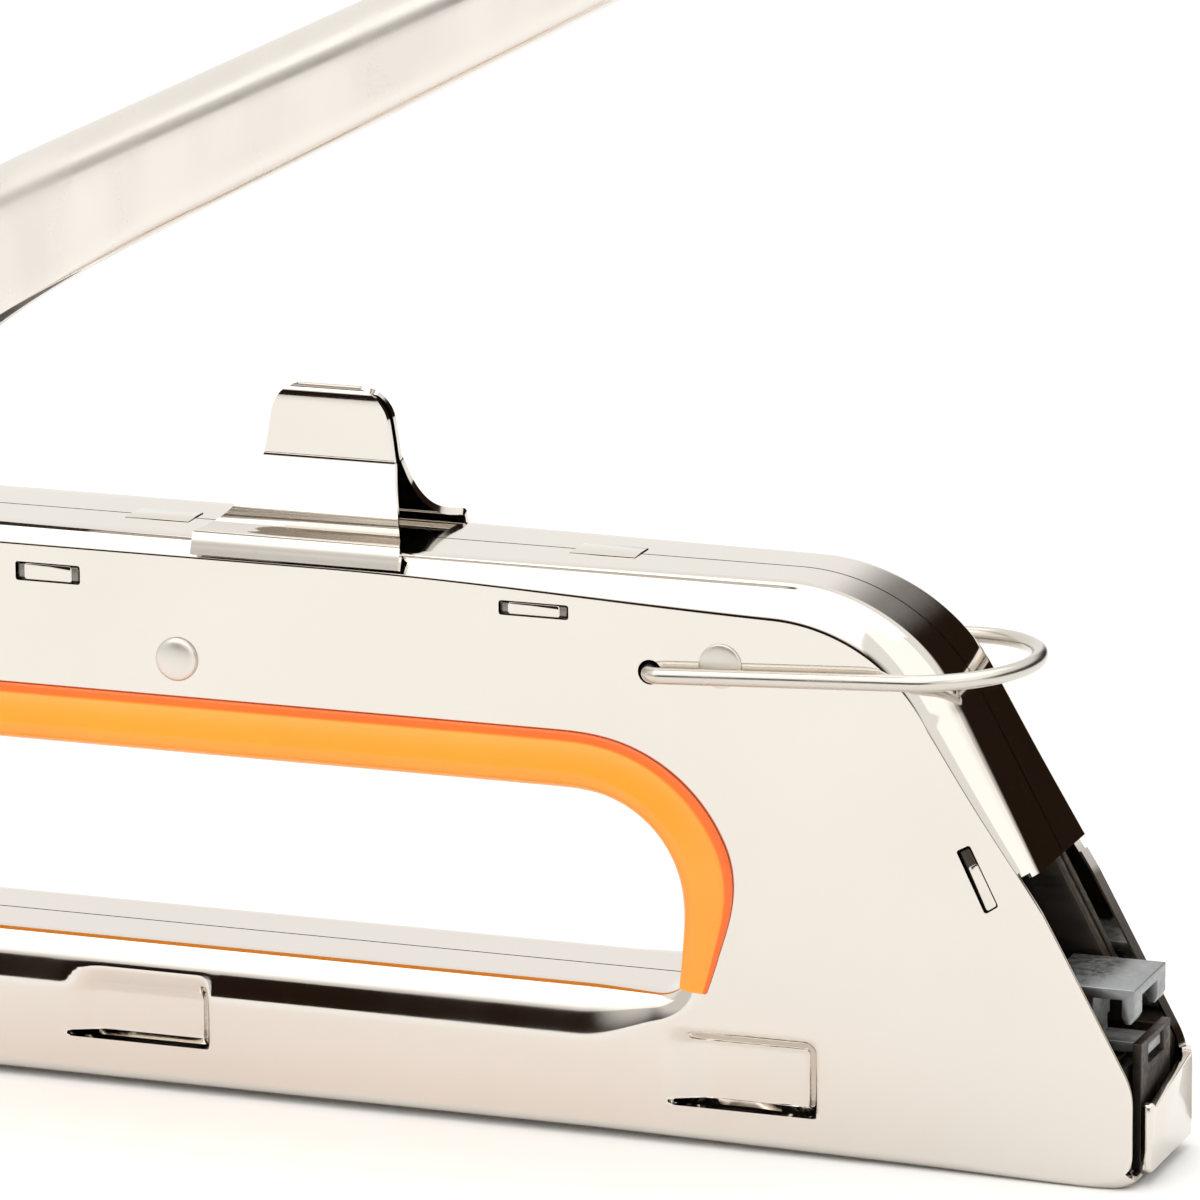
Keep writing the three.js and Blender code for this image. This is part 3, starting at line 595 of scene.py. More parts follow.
def press_pockets(mesh):
    """Splits the side faces along straight lines over each pocket's walls and sinks them by press_depth."""
    with opened(mesh) as work:
        boxes = [((pocket[0] - 1, pocket[4] - 1.2), (pocket[3] + 1, pocket[6] + 0.8)) for pocket in POCKETS]
        jobs = [(pocket, faces_in_box(mesh, work, *box)) for pocket, box in zip(POCKETS, boxes)]
        for (rear, flat_rear, flat_front, front, low, roof, high, _), faces in jobs:
            across = np.concatenate([np.linspace(rear, flat_rear, 9), np.linspace(flat_front, front, 9)])
            level = np.concatenate([np.linspace(low - 0.5, low + 0.2, 6), np.linspace(roof, high, 8)])
            for place in across:
                faces = split_faces(work, faces, Vector((place * MM, 0, 0)), Vector((1, 0, 0)))
            for place in level:
                faces = split_faces(work, faces, Vector((0, 0, place * MM)), Vector((0, 0, 1)))
    spots = np.empty(len(mesh.vertices) * 3)
    mesh.vertices.foreach_get("co", spots)
    spots = spots.reshape(-1, 3)
    x, y, z = spots.T / MM
    spots[:, 1] -= np.sign(y) * press_depth(x, z) * (np.abs(y) > FLAT_SIDE) * MM
    mesh.vertices.foreach_set("co", spots.ravel())
    mesh.update()


def slot_outlines():
    """Outlines of the clip slots, the bail pivot hole, the nose slot and the slits of the pockets."""
    boxes = [
        ((-40.5, 56.2), (-32.9, 56.2), (-32.9, 58.3), (-40.5, 58.3)),
        ((15.4, 56.8), (23.3, 56.8), (23.3, 58.4), (15.4, 58.4)),
        ((69.5, 28.8), (71.0, 29.8), (67.8, 36.2), (66.3, 35.4)),
        ((-35.5, 5.3), (-18.9, 5.3), (-18.9, 5.95), (-35.5, 5.95)),
        ((34.6, 4.5), (50.8, 4.5), (50.8, 5.15), (34.6, 5.15)),
    ]
    turn = np.linspace(0, 2 * math.pi, 24, endpoint=False)
    pivot = np.stack([32.4 + 1.35 * np.cos(turn), 51.9 + 1.35 * np.sin(turn)], -1)
    return [rounded(corners, [0.3] * 4, 0.15) for corners in boxes] + [pivot]


def cut_slots(mesh):
    """Cuts the convex slot outlines out of the side: each edge's plane splits the faces still inside."""
    with opened(mesh) as work:
        outlines = slot_outlines()
        boxed = [faces_in_box(mesh, work, line.min(0) - 1.2, line.max(0) + 1.2) for line in outlines]
        for line, inside in zip(outlines, boxed):
            for start, end in zip(line, np.roll(line, -1, 0)):
                ahead = end - start
                if np.hypot(*ahead) < 1e-4:
                    continue
                out = np.array([ahead[1], -ahead[0]])
                out = out * np.sign(out @ (start - line.mean(0)))
                spot = Vector((start[0] * MM, 0, start[1] * MM))
                away = Vector((out[0], 0, out[1])).normalized()
                parts = split_faces(work, inside, spot, away)
                inside = [face for face in parts if (face.calc_center_median() - spot).dot(away) < 0]
            bmesh.ops.delete(work, geom=inside, context="FACES")


def make_shell(name, side, size):
    """Half shell on one side, made a sheet: the surface less its gaps, pressed and slotted.

    The gaps are the nose window, the lever's, the magazine rail's and the staple exit. A quad goes if its
    centre lies in one. The window follows the slope of the nose, 3 mm behind it.
    """
    surface = shell_surface(size)
    beside = np.roll(surface, -1, 1)
    x, y, z = np.moveaxis(0.25 * (surface[:-1] + beside[:-1] + surface[1:] + beside[1:]), -1, 0)
    y = -y
    edge = np.arange(len(x))[:, None] < EDGE_ROWS
    slope = np.minimum(87 - 0.54 * (z - 11.4), 87) - 3
    window = edge & (x > slope) & (x > 70) & (y < (9.25 if side > 0 else 9.46)) & (z[:1] > 1.0) & (z < 33.4)
    if side > 0:
        window = window & ((y < 7.1) | (z > 10.8))
        surface = surface * np.array([1, -1, 1])
    lever_gap = edge & (y < 8.45) & (x < -50.5) & (z > 46)
    rail_gap = edge & (y < 7) & (x < -84) & (z > 1.9) & (z < 13.2)
    exit_gap = edge & (y < 5.8) & (x > 83.9) & (x < 86) & (z < 4)
    mesh = grid_mesh(name, surface, wrap_columns=True, keep=~(window | lever_gap | rail_gap | exit_gap))
    tidy(mesh, outward=False)
    press_pockets(mesh)
    cut_slots(mesh)
    turn_out(mesh)
    return sheet(mesh, size.sheet)


# ---------------------------------------------------------------- other pieces

def strap_outline():
    """Outline of the front strap in (y, z), across the nose foot, with a small hook at its free corner."""
    corners = [(8.0, 10.6), (-4.9, 8.2), (-6.0, 9.0), (-6.8, 8.8), (-6.8, 1.4), (8.0, 1.4)]
    return rounded(corners, [0.2, 0.7, 0.3, 0.3, 0.6, 0.2], 0.2)


def prism_mesh(name, line, low, high, bevel, axis=1):
    """Outline carried straight along an axis, with both ends closed and the edges bevelled."""
    work = bmesh.new()
    ring = []
    for level in (low, high):
        corners = [(a, level, b) if axis == 1 else (level, a, b) for a, b in line]
        ring.append([work.verts.new([value * MM for value in corner]) for corner in corners])
    work.faces.new(ring[0])
    work.faces.new(ring[1][::-1])
    for k in range(len(line)):
        after = (k + 1) % len(line)
        work.faces.new((ring[0][k], ring[1][k], ring[1][after], ring[0][after]))
    bmesh.ops.recalc_face_normals(work, faces=work.faces)
    mesh = bpy.data.meshes.new(name)
    work.to_mesh(mesh)
    work.free()
    return bevelled(mesh, bevel, BEVEL_ANGLE)


def grip_surface():
    """Grip moulding: a U section carried round the opening, thinned to a point at its front foot.

    The section lies in (away from the opening, Y). Its outer line is a superellipse bulge over each
    side and round the lip, and its inner line hugs the edge of the shells.
    """
    edge = opening_outline()
    start = nearest_length(edge, (36.9, 18.6))
    total = measured(edge)[0][-1]
    reach = (nearest_length(edge, (-69.8, 19.5)) - start) % total
    s = np.linspace(0, 1, 420)
    path = along(edge, (start + s * reach) % total)
    below = s * reach < 5.0
    drop = 1.55 * (5.0 - s * reach)[below]
    path[below] = path[~below][0] + drop[:, None] * np.array([-0.10, -1.0])
    even = np.ones(19) / 19
    path = np.stack([np.convolve(np.pad(path[:, k], 9, "edge"), even, "valid") for k in (0, 1)], -1)
    normal = -side_normals(path, closed=False)
    taper = 0.12 + 0.88 * smooth_step(s * reach, -3.5, 13)
    rear = smooth_step((1 - s) * reach, -2.0, 10)
    wide = 0.25 + 0.75 * np.minimum(taper, rear)
    rim = np.array([[5.3, 9.62], [5.3, 9.95], [5.15, 10.12], [4.45, 10.15], [4.25, 10.2]])
    angle = np.linspace(0, QUARTER, 26)[1:]
    face = np.stack([4.25 - 2.9 * np.sin(angle) ** 1.15, 10.2 + 1.15 * np.sin(angle) ** 0.8], -1)
    turn = np.linspace(0, QUARTER, 20)[1:]
    corner = np.stack([1.35 - 2.45 * np.sin(turn), 8.0 + 3.35 * np.cos(turn)], -1)
    outer_half = np.vstack([rim, face, corner, [[-1.1, 3.5], [-1.1, 0.0]]])
    inside = np.array([[-0.15, 0.0], [-0.15, 7.6], [0.1, 9.0], [0.9, 9.6], [3.0, 9.6]])
    section = np.vstack([outer_half, (outer_half * [1, -1])[::-1][1:], (inside * [1, -1])[::-1], inside[1:]])
    n = section[:, 0] * np.where(section[:, 0] > 0, wide[:, None], 1.0)
    y = np.broadcast_to(section[:, 1], n.shape)
    over = np.maximum(np.abs(y) - 9.6, 0) * np.minimum(taper, rear)[:, None]
    y = np.sign(y) * (np.minimum(np.abs(y), 9.6) + over)
    xz = path[:, None] + normal[:, None] * n[..., None]
    points = np.stack([xz[..., 0], y, xz[..., 1]], -1)
    across = np.clip(section[:, 0] / 5.3, 0, 1)
    uv = np.stack(np.broadcast_arrays(s[:, None], across[None]), -1)
    return points, uv


def lever_edges(u):
    """Top and lower edge of the lever at each distance u from its pin, in the level frame.

    Both are straight lines between quadratic arcs, each drawn towards its middle point.
    """
    def arc(a, b, c, count=30):
        t = np.linspace(0, 1, count)[:, None]
        return (1 - t) ** 2 * np.array(a) + 2 * t * (1 - t) * np.array(b) + t * t * np.array(c)
    top = np.vstack([arc((-9, 3), (-8.6, 25.6), (15, 26.7)), [[48, 26.2], [140, 22.2]]])
    low = np.vstack([arc((-9, 3), (-9.0, -6.5), (0, -7)), arc((6, -7), (12.5, -6.5), (14.5, -1), 12),
                     arc((19.5, 7.5), (29, 12.0), (50, 12.1)), [[140, 12.1]]])
    return np.interp(u, top[:, 0], top[:, 1]), np.interp(u, low[:, 0], low[:, 1])


def lever_surface(size):
    """Folded lever skin: at each station a wall, a round, the top, a round and a wall.

    The walls curl inward at their foot by a quarter circle that fades towards the pin, and the free
    end closes by the plan's superellipse: width and height shrink as sqrt(1 - t^2) over the last stretch.
    """
    length, half = size.lever_length / MM, size.lever_half / MM
    ease = 1 - np.cos(np.linspace(0, QUARTER, 26))
    u = np.concatenate([-8.95 + 6 * ease, np.linspace(-2.6, length - 6, 240), length - 5.9 * (ease[::-1])])
    u = np.unique(np.round(u, 5))
    top, low = lever_edges(u)
    near = np.clip((u - (length - 5.2)) / 5.2, 0, 1)
    shrink = np.sqrt(np.clip(1 - near ** 2.6, 0, 1))
    wide = half * (0.62 + 0.38 * shrink)
    top = low + (top - low) * (0.55 + 0.45 * shrink)
    corner = np.minimum(4.6, (top - low) * 0.45)
    hem = 1.7 * smooth_step(u, 42, 62) + 0.15
    turn = np.linspace(0, QUARTER, 9)[:, None]
    wall = np.linspace(0, 1, 8)[1:-1, None]
    roof = np.linspace(1, 0, 5)[1:-1, None]
    half_y = np.concatenate([
        wide - hem + hem * np.cos(turn[::-1]),
        np.repeat(wide[None], len(wall), 0),
        wide - corner + corner * np.cos(turn),
        (wide - corner) * roof,
    ])
    half_n = np.concatenate([
        low + hem - hem * np.sin(turn[::-1]),
        (low + hem) * (1 - wall) + (top - corner) * wall,
        top - corner + corner * np.sin(turn),
        np.repeat(top[None], len(roof), 0),
    ])
    y = np.concatenate([-half_y, np.zeros((1, len(u))), half_y[::-1]])
    n = np.concatenate([half_n, top[None], half_n[::-1]])
    return np.stack([np.broadcast_to(u, y.shape), y, n], -1).transpose(1, 0, 2)


def raise_lever(points, size):
    """Turns points from the level lever frame up about the pin, by the rest angle."""
    cos, sin = math.cos(size.lever_angle), math.sin(size.lever_angle)
    u, y, n = np.moveaxis(points, -1, 0)
    pin = hinge("lever_swing")
    return np.stack([pin[0] + u * cos - n * sin, y, pin[2] + u * sin + n * cos], -1)


def hinge(name):
    """Place of a joint in millimetres, from the frame."""
    return np.array(next(j["pos_m"] for j in frame["joints"] if j["name"] == name)) / MM


def saddle_surface(size):
    """Saddle sheet: rows run from the right lip up one flank, over the fin's fold and down the other.

    A row at height z lies at y = flank(z) and spans X from rear(z) to front(z); all three are
    smooth curves through a few heights, so the ends flare like a bell.
    """
    top = size.fin_top / MM
    level = np.array([60.95, 61.8, 62.6, 63.1, 63.35, 63.5, 63.9, 64.8, 66.2,
                      68.0, 69.9, 70.4, 70.8, 73.0, 75.2, top - 1.6, top - 0.55, top])
    flank = np.array([10.6, 10.3, 10.0, 9.7, 9.2, 8.3, 6.7, 5.0, 3.6,
                      2.45, 1.5, 1.32, 1.26, 1.22, 1.2, 1.15, 0.98, 0.5])
    rear = -np.array([19.5, 19.5, 19.5, 19.5, 19.3, 18.9, 18.1, 17.1, 16.2,
                      15.4, 14.8, 14.6, 14.5, 14.1, 13.7, 13.2, 12.3, 10.9])
    front = np.array([4.4, 4.4, 4.4, 4.3, 4.1, 3.8, 3.1, 2.3, 1.6,
                      1.0, 0.6, 0.45, 0.3, 0.0, -0.4, -1.1, -2.2, -3.8])
    s = np.linspace(0, len(level) - 1, 130)
    level, flank, rear, front = (smooth_curve(values, s)[:, None] for values in (level, flank, rear, front))
    t = np.linspace(0, 1, 60)
    near = np.stack(np.broadcast_arrays(rear * (1 - t) + front * t, -flank, level), -1)
    ridge = near[-1:] * [1, 0, 1] + [0, 0, 0.12]
    return np.concatenate([near, ridge, (near * [1, -1, 1])[::-1]])


def smooth_curve(values, places):
    """Curve through evenly placed values by cubic Hermite pieces whose slopes are central differences."""
    slope = np.gradient(values)
    k = np.clip(places.astype(int), 0, len(values) - 2)
    t = places - k
    first, last = values[k], values[k + 1]
    ahead = (2 * t**3 - 3 * t**2 + 1) * first + (3 * t**2 - 2 * t**3) * last
    return ahead + (t**3 - 2 * t**2 + t) * slope[k] + (t**3 - t**2) * slope[k + 1]


def finished_copy(node, bevel):
    """Copy of a frame solid with its corners merged, flats joined and edges rounded by a bevel."""
    mesh = frame["nodes"][node].data.copy()
    mesh.materials.clear()
    with opened(mesh) as work:
        bmesh.ops.remove_doubles(work, verts=work.verts, dist=WELD)
        bmesh.ops.dissolve_limit(work, angle_limit=DISSOLVE_ANGLE, verts=work.verts, edges=work.edges)
    return bevelled(mesh, bevel, SOLID_BEVEL_ANGLE, use_clamp_overlap=True)


def finish_solids(plans):
    """Adds finished copies of frame solids, each with its node, body, bevel, look and slot."""
    for name, node, body, bevel, finish, slot in plans:
        piece(name, finished_copy(node, bevel), get_look(finish), body, slot, node)


# ---------------------------------------------------------------- settings

def length_property(name, description, value):
    return bpy.props.FloatProperty(
        name=name, description=description, default=value, subtype="DISTANCE", unit="LENGTH", precision=5
    )


def colour_property(name, description, value):
    return bpy.props.FloatVectorProperty(
        name=name, description=description, default=value, size=3, subtype="COLOR", min=0.0, max=1.0
    )


class StapleSizes(bpy.types.PropertyGroup):
    """Sizes of the staple gun"""

    half_width: length_property("Half width", "Half the width across both shells", 0.0095)
    seam: length_property("Seam", "Half the gap between the shells", 0.00012)
    sheet: length_property("Sheet", "Thickness of the shell sheet", 0.001)
    lever_length: length_property("Lever length", "Reach of the lever from its pin", 0.1278)
    lever_half: length_property("Lever half width", "Half the width of the lever", 0.0082)
    lever_sheet: length_property("Lever sheet", "Thickness of the lever sheet", 0.001)
    lever_angle: bpy.props.FloatProperty(
        name="Lever angle", description="Lift of the open lever", default=math.radians(27.9), subtype="ANGLE"
    )
    wire_radius: length_property("Wire radius", "Half the thickness of the bail wire", 0.0009)
    bail_half: length_property("Bail half width", "Half the width of the bail loop", 0.01095)
    bail_arm: length_property("Bail arm", "Straight length of the bail from its pivot", 0.0286)
    saddle_sheet: length_property("Saddle sheet", "Thickness of the saddle sheet", 0.00075)
    fin_top: length_property("Fin top", "Height of the saddle's fin", 0.0781)
    pin_head: length_property("Pin head", "Radius of the rivet heads", 0.0024)


class StapleFinish(bpy.types.PropertyGroup):
    """Colours of the staple gun"""

    chrome: colour_property("Chrome", "Plated shells and saddle", (0.72, 0.68, 0.63))
    lever: colour_property("Lever chrome", "Plated lever", (0.76, 0.725, 0.68))
    wire: colour_property("Wire", "Bail wire", (0.62, 0.59, 0.54))
    steel: colour_property("Steel", "Bare sheet inside", (0.2, 0.185, 0.17))
    # Dark steel: the lever bracket's own dark finish, and painted shade on the bare-steel driver, liners,
    # channel and nose gate that sit in shade inside the nose.
    dark_steel: colour_property("Dark steel", "Lever bracket and liners", (0.06, 0.05, 0.042))
    # Zinc: colour darkened below its own tone as painted shade for the hammer arm in the shade of the shells;
    # the pins share it.
    zinc: colour_property("Zinc", "Hammer arm and pins", (0.27, 0.28, 0.285))
    spring: colour_property("Spring", "Spring wire", (0.3, 0.3, 0.31))
    grip: colour_property("Grip", "Crown of the grip moulding", (1.0, 0.355, 0.022))
    grip_rim: colour_property("Grip rim", "Outer rim of the grip moulding", (1.0, 0.16, 0.003))
    grip_deep: colour_property("Grip rim shade", "Darker patches of the rim", (0.93, 0.135, 0.003))
    black: colour_property("Black", "Rubber and plastic", (0.018, 0.018, 0.02))
    floor: colour_property("Floor", "Paper under the tool", (0.9, 0.9, 0.895))


# ---------------------------------------------------------------- operators

class STAPLE_OT_shells(bpy.types.Operator):
    """Build the two pressed half shells and the front strap"""

    bl_idname = "staple.shells"
    bl_label = "Shells"

    def execute(self, context):
        size = context.scene.staple_sizes
        sides = (("right_side_shell", -1, "right_shell"), ("left_side_shell", 1, "left_shell"))
        for name, side, node in sides:
            piece(name, make_shell(name, side, size), get_look("shell"), "frame", "chrome_sheet", node)
        strap = prism_mesh("nose_strap", strap_outline(), 86.02, 86.95, 0.2, axis=0)
        piece("nose_strap", strap, get_look("shell"), "frame", "chrome_sheet", "left_shell")
        return {"FINISHED"}


class STAPLE_OT_grip(bpy.types.Operator):
    """Build the orange grip moulding round the finger opening"""

    bl_idname = "staple.grip"
    bl_label = "Grip"

    def execute(self, context):
        points, uv = grip_surface()
        mesh = grid_mesh("finger_grip", points, wrap_columns=True, uv=uv)
        tidy(mesh, fill=True)
        piece("finger_grip", mesh, get_look("grip"), "frame", "orange_grip", "grip_trim")
        return {"FINISHED"}


class STAPLE_OT_lever(bpy.types.Operator):
    """Fold the squeeze lever and finish its bracket, roller and axle"""

    bl_idname = "staple.lever"
    bl_label = "Lever"

    def execute(self, context):
        size = context.scene.staple_sizes
        grid = lever_surface(size)
        mesh = grid_mesh("squeeze_lever", raise_lever(grid, size))
        cap = np.stack([grid[-1], grid[-1] * [1, 0, 1]])
        with opened(mesh) as work:
            work.from_mesh(grid_mesh("lever_end", raise_lever(cap, size)))
            bmesh.ops.remove_doubles(work, verts=work.verts, dist=WELD)
            bmesh.ops.recalc_face_normals(work, faces=work.faces)
        turn_out(mesh)
        skin = sheet(mesh, size.lever_sheet)
        piece("squeeze_lever", skin, get_look("lever"), "squeeze_lever", "chrome_sheet", "lever")
        finish_solids((
            ("cam_bracket", "lever_bracket", "squeeze_lever", 0.25, "dark", "dark_steel"),
            ("cam_roller_ring", "cam_roller", "roller", 0.2, "steel", "bare_steel"),
            ("roller_axle", "roller_pin", "squeeze_lever", 0.2, "zinc", "zinc_plated"),
        ))
        return {"FINISHED"}


# Bail wire: radius of its bends, where its ends stop beside the middle plane, and its lift at rest.
BAIL_CORNER = 1.6
BAIL_FOOT = 7.6
BAIL_RISE = math.radians(3.0)


class STAPLE_OT_bail(bpy.types.Operator):
    """Bend the wire lock bail"""

    bl_idname = "staple.bail"
    bl_label = "Bail"

    def execute(self, context):
        size = context.scene.staple_sizes
        half, arm, radius = size.bail_half / MM, size.bail_arm / MM, size.wire_radius / MM
        pivot = hinge("bail_swing")
        bend = np.linspace(0, QUARTER, 12)
        loop = np.linspace(0, math.pi, 70)
        corner = BAIL_CORNER
        run = np.linspace(corner, arm, 24)[1:-1]
        first = np.concatenate([
            np.stack([np.zeros(6), np.linspace(-BAIL_FOOT, corner - half, 6)], -1)[:-1],
            np.stack([corner * (1 - np.cos(bend)), corner - half - corner * np.sin(bend)], -1),
            np.stack([run, np.full(len(run), -half)], -1),
        ])
        middle = np.stack([arm + half * np.sin(loop), -half * np.cos(loop)], -1)
        flat = np.vstack([first, middle, (first * [1, -1])[::-1]])
        rise = BAIL_RISE
        cos, sin = math.cos(rise), math.sin(rise)
        path = np.stack([pivot[0] + flat[:, 0] * cos, flat[:, 1], pivot[2] + flat[:, 0] * sin], -1)
        mesh = grid_mesh("wire_bail", tube(path, radius, 22, np.array([[-sin, 0, cos]])), wrap_columns=True)
        tidy(mesh, merge=WELD, fill=True)
        piece("wire_bail", mesh, get_look("wire"), "bail", "bright_wire", "lock_bail")
        return {"FINISHED"}


class STAPLE_OT_saddle(bpy.types.Operator):
    """Fold the saddle with its finger fin"""

    bl_idname = "staple.saddle"
    bl_label = "Saddle"

    def execute(self, context):
        size = context.scene.staple_sizes
        mesh = grid_mesh("finger_saddle", saddle_surface(size))
        tidy(mesh)
        turn_out(mesh)
        skin = sheet(mesh, size.saddle_sheet)
        piece("finger_saddle", skin, get_look("shell"), "saddle", "chrome_sheet", "power_saddle")
        return {"FINISHED"}


# Rivets: distance of the head's seat from the middle plane, and radius of the shank.
RIVET_SEAT = 9.5
RIVET_SHANK = 1.6


class STAPLE_OT_pins(bpy.types.Operator):
    """Turn the domed rivets that hold the shells"""

    bl_idname = "staple.pins"
    bl_label = "Pins"

    def execute(self, context):
        size = context.scene.staple_sizes
        head = size.pin_head / MM
        rivets = (
            ("fulcrum_rivet", "fulcrum_pin", 0.8),
            ("front_rivet", "front_pin", 0.3),
            ("lever_rivet", "lever_pin", 0.8),
        )
        for name, node, rise in rivets:
            low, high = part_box(node)
            centre = ((low.x + high.x) / 2 / MM, (low.z + high.z) / 2 / MM)
            angle = np.linspace(0, QUARTER, 14)
            dome = np.stack([head * np.sin(angle), RIVET_SEAT + 0.06 + rise * np.cos(angle) ** 0.6], -1)
            shank = [[head, RIVET_SEAT + 0.02], [RIVET_SHANK, RIVET_SEAT], [RIVET_SHANK, 0.0]]
            half = np.vstack([dome, shank])
            profile = np.vstack([half * [1, -1], half[::-1][1:]])
            mesh = grid_mesh(name, lathe(profile, centre), wrap_columns=True)
            tidy(mesh, merge=WELD)
            piece(name, mesh, get_look("rivet"), "frame", "zinc_plated", node)
        tabs = (
            ("rear_tab", [(-39.5, 56.35), (-33.9, 56.35), (-33.9, 58.15), (-39.5, 58.15)]),
            ("middle_tab", [(16.4, 56.95), (22.3, 56.95), (22.3, 58.25), (16.4, 58.25)]),
            ("nose_tab", [(69.7, 29.1), (70.8, 29.85), (68.6, 34.3), (67.6, 33.75)]),
        )
        for name, corners in tabs:
            for side, low, high in (("right", -9.42, -8.4), ("left", 8.4, 9.42)):
                mesh = prism_mesh(f"{side}_{name}", rounded(corners, [0.25] * 4, 0.2), low, high, 0.12)
                piece(f"{side}_{name}", mesh, get_look("shell"), "frame", "bare_steel")
        for name, place in (("rear_seam_lock", -27.0), ("front_seam_lock", 24.4)):
            rear, front = place - 3.7, place + 3.7
            line = rounded([(rear, 61.8), (front, 61.8), (front, 62.34), (rear, 62.34)], [0.1] * 4, 0.1)
            piece(name, prism_mesh(name, line, -2.2, 2.2, 0.08), get_look("shell"), "frame", "bare_steel")
        return {"FINISHED"}


class STAPLE_OT_springs(bpy.types.Operator):
    """Wind the three coil springs"""

    bl_idname = "staple.springs"
    bl_label = "Springs"

    def execute(self, context):
        plans = (
            ("drive_spring", "main_spring", "frame", 2, 4.4, 4.5, 0.8),
            ("lever_spring", "return_spring", "frame", 1, 2.7, 5.0, 0.5),
            ("feed_spring", "follower_spring", "magazine_rail", 0, 1.9, 24.0, 0.3),
        )
        for name, node, body, axis, radius, turns, wire in plans:
            low, high = (np.array(corner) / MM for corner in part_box(node))
            middle = (low + high) / 2
            direction, side = np.eye(3)[axis], np.eye(3)[(axis + 1) % 3]
            start = middle.copy()
            start[axis] = low[axis] + wire
            length = high[axis] - low[axis] - 2 * wire
            path, spoke = coil(start, direction, side, radius, turns, length, wire)
            mesh = grid_mesh(name, tube(path, wire, 10, spoke), wrap_columns=True)
            tidy(mesh, fill=True)
            made = piece(name, mesh, get_look("spring"), body, "spring_steel", node)
            if name == "drive_spring":
                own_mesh(made)
            if name == "feed_spring":
                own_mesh(made)
        return {"FINISHED"}


class STAPLE_OT_works(bpy.types.Operator):
    """Finish the inner works: arm, driver, liners, clips, channel, rail and follower"""

    bl_idname = "staple.works"
    bl_label = "Works"

    def execute(self, context):
        finish_solids((
            # The hammer arm's zinc colour is darkened as painted shade.
            ("hammer_forging", "hammer_arm", "hammer", 0.4, "zinc", "cast_zinc"),
            # Driver, liners, channel and nose gate are bare steel; their dark look is painted shade for the
            # shaded inside of the nose.
            ("driver_plate", "driver_blade", "driver", 0.12, "dark", "bare_steel"),
            ("clip_rear", "rear_clip", "frame", 0.2, "steel", "bare_steel"),
            ("clip_middle", "middle_clip", "frame", 0.2, "steel", "bare_steel"),
            ("liner_right", "right_nose_liner", "frame", 0.2, "dark", "bare_steel"),
            ("liner_left", "left_nose_liner", "frame", 0.2, "dark", "bare_steel"),
            ("channel_sheet", "staple_channel", "frame", 0.2, "dark", "bare_steel"),
            ("nose_gate", "nose_guide", "frame", 0.2, "dark", "bare_steel"),
            ("seat_plate", "spring_seat", "frame", 0.25, "steel", "bare_steel"),
            ("arm_stop", "buffer", "frame", 0.8, "rubber", "black_rubber"),
            ("heel_filler", "heel_spacer", "frame", 0.8, "black", "black_plastic"),
            ("staple_rail", "pusher_rail", "magazine_rail", 0.2, "steel", "bare_steel"),
            ("rail_catch", "pusher_cap", "magazine_rail", 0.5, "black", "black_plastic"),
            ("feed_rod", "guide_rod", "magazine_rail", 0.15, "zinc", "zinc_plated"),
            ("feed_shoe", "follower", "staple_follower", 0.2, "zinc", "zinc_plated"),
        ))
        return {"FINISHED"}


# Soft lights: name, place, target, side in metres, power in watts and colour.
LIGHTS = (
    ("key", (-0.35, -0.9, 1.1), (0, 0, 0.05), 1.5, 4.6, (1.0, 0.98, 0.95)),
    ("fill", (0.9, -0.5, 1.0), (0, 0, 0.05), 1.4, 2.6, (1.0, 0.98, 0.95)),
    ("top", (0, 0.1, 1.6), (0, 0, 0.0), 2.0, 9.5, (1.0, 1.0, 1.0)),
)
# Camera: azimuth, elevation and roll in degrees, its target in millimetres and its distance in metres.
CAMERA_TURN = (20.5, 14.0, -0.46838)
CAMERA_TARGET = (26.8768, -9.5, 59.2930)
CAMERA_REACH = 0.9


class STAPLE_OT_stage(bpy.types.Operator):
    """Lay the floor, hang the lights and aim the camera"""

    bl_idname = "staple.stage"
    bl_label = "Stage"

    def execute(self, context):
        scene = context.scene
        side = np.linspace(-3000, 3000, 25)
        x, y = np.meshgrid(side, side, indexing="ij")
        paper = grid_mesh("paper_floor", np.stack([x, y, np.full(x.shape, -0.05)], -1))
        floor = bpy.data.objects.new("paper_floor", paper)
        scene.collection.objects.link(floor)
        floor.data.materials.append(get_look("floor"))
        for light in LIGHTS:
            add_area(*light)
        build_world(scene)
        camera = bpy.data.cameras.new("camera")
        camera.lens, camera.sensor_width = 256.5, 36
        camera.clip_start, camera.clip_end = 0.05, 20
        holder = bpy.data.objects.new("camera", camera)
        scene.collection.objects.link(holder)
        azimuth, elevation, roll = (math.radians(angle) for angle in CAMERA_TURN)
        cos, sin = math.cos(elevation), math.sin(elevation)
        back = Vector((math.sin(azimuth) * cos, -math.cos(azimuth) * cos, sin))
        level = Vector((math.cos(azimuth), math.sin(azimuth), 0))
        upward = back.cross(level)
        right = level * math.cos(roll) + upward * math.sin(roll)
        over = -level * math.sin(roll) + upward * math.cos(roll)
        turn = Matrix((right, over, back)).transposed().to_4x4()
        target = Vector(CAMERA_TARGET) * MM
        holder.matrix_world = Matrix.Translation(target + back * CAMERA_REACH) @ turn
        scene.camera = holder
        scene.view_settings.view_transform = "Standard"
        return {"FINISHED"}


def add_area(name, spot, target, size, power, colour):
    """Square soft light at a spot, turned to a target."""
    light = bpy.data.lights.new(name, "AREA")
    light.size, light.energy, light.color = size, power, colour
    holder = bpy.data.objects.new(name, light)
    holder.location = spot
    holder.rotation_mode = "QUATERNION"
    holder.rotation_quaternion = (Vector(target) - Vector(spot)).to_track_quat("-Z", "Y")
    bpy.context.scene.collection.objects.link(holder)


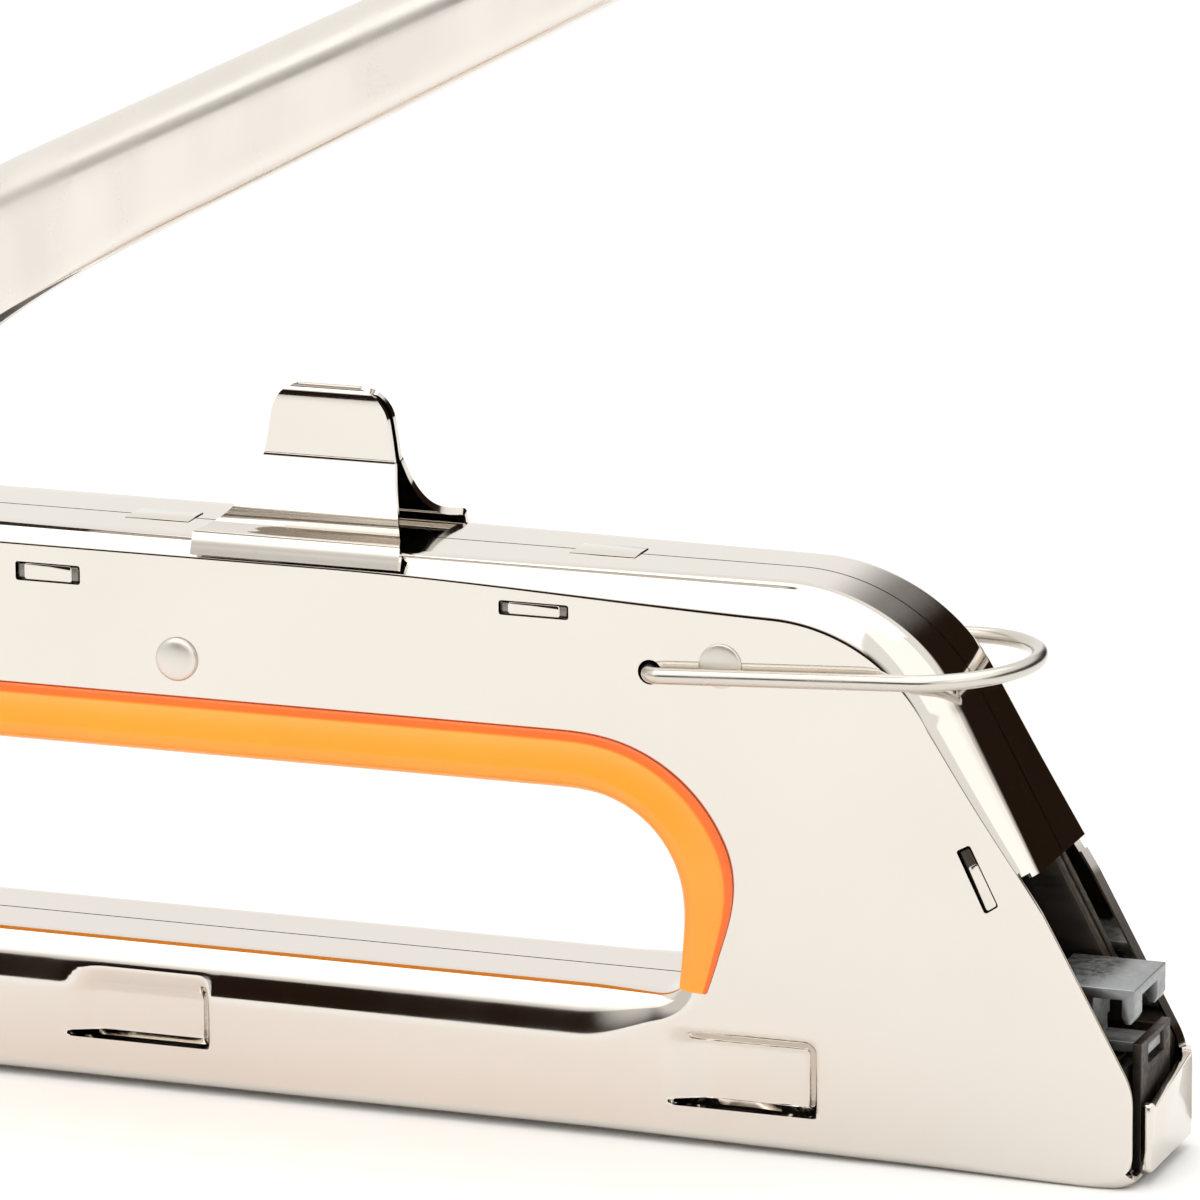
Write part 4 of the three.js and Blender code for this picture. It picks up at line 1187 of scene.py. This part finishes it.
def build_world(scene):
    """Studio surround: pale overhead and to the rear left, with a dark room in a low band elsewhere.

    Darkness is the product of eased ramps on the height and on the side of a direction. Only reflections and
    bounced light see it, and the backdrop itself stays pale.
    """
    world = bpy.data.worlds.new("studio")
    scene.world = world
    world.use_nodes = True
    nodes = Nodes(world.node_tree)
    direction = nodes.node("ShaderNodeTexCoord").outputs["Generated"]
    split = nodes.node("ShaderNodeSeparateXYZ", Vector=direction).outputs

    def ease(axis, low, high, first=0.0, last=1.0):
        return nodes.grade(split[axis], first, last, low, high, "SMOOTHSTEP")

    band = ease("Z", 0.34, 0.50, 1.0, 0.0)
    right = nodes.combine("MULTIPLY", ease("X", -0.22, 0.02), ease("Y", -0.5, -0.1))
    front = nodes.combine("MULTIPLY", ease("Y", -0.35, -0.1, 1.0, 0.0), ease("X", -0.56, -0.4, 0.25, 1.0))
    front = nodes.combine("MULTIPLY", front, ease("X", 0.05, 0.3, 1.0, 0.0))
    dark = nodes.combine("MULTIPLY", band, nodes.combine("MAXIMUM", right, front))
    seen = nodes.node("ShaderNodeLightPath").outputs["Is Camera Ray"]
    dark = nodes.combine("MULTIPLY", dark, nodes.combine("SUBTRACT", 1.0, seen))
    tone = nodes.ramp(dark, [(0.0, (1.0, 0.985, 0.96)), (1.0, (0.018, 0.010, 0.006))])
    background = world.node_tree.nodes["Background"]
    nodes.feed(background.inputs["Color"], tone)
    nodes.feed(background.inputs["Strength"], 1.08)


class STAPLE_PT_panel(bpy.types.Panel):
    """Lists the pieces of the staple gun"""

    bl_idname = "STAPLE_PT_panel"
    bl_label = "Staple Gun"
    bl_space_type = "VIEW_3D"
    bl_region_type = "UI"
    bl_category = "Staple Gun"

    def draw(self, context):
        for step in STEPS:
            self.layout.operator(step.bl_idname)
        for group in (context.scene.staple_sizes, context.scene.staple_finish):
            box = self.layout.box()
            for key in group.__annotations__:
                box.prop(group, key)


STEPS = (
    STAPLE_OT_shells, STAPLE_OT_grip, STAPLE_OT_lever, STAPLE_OT_bail, STAPLE_OT_saddle,
    STAPLE_OT_pins, STAPLE_OT_springs, STAPLE_OT_works, STAPLE_OT_stage,
)
CLASSES = (StapleSizes, StapleFinish, *STEPS, STAPLE_PT_panel)


def register():
    for item in CLASSES:
        bpy.utils.register_class(item)
    bpy.types.Scene.staple_sizes = bpy.props.PointerProperty(type=StapleSizes)
    bpy.types.Scene.staple_finish = bpy.props.PointerProperty(type=StapleFinish)


def unregister():
    del bpy.types.Scene.staple_finish
    del bpy.types.Scene.staple_sizes
    for item in reversed(CLASSES):
        bpy.utils.unregister_class(item)


def main():
    register()
    for step in STEPS:
        group, name = step.bl_idname.split(".")
        getattr(getattr(bpy.ops, group), name)()


if __name__ == "__main__":
    main()
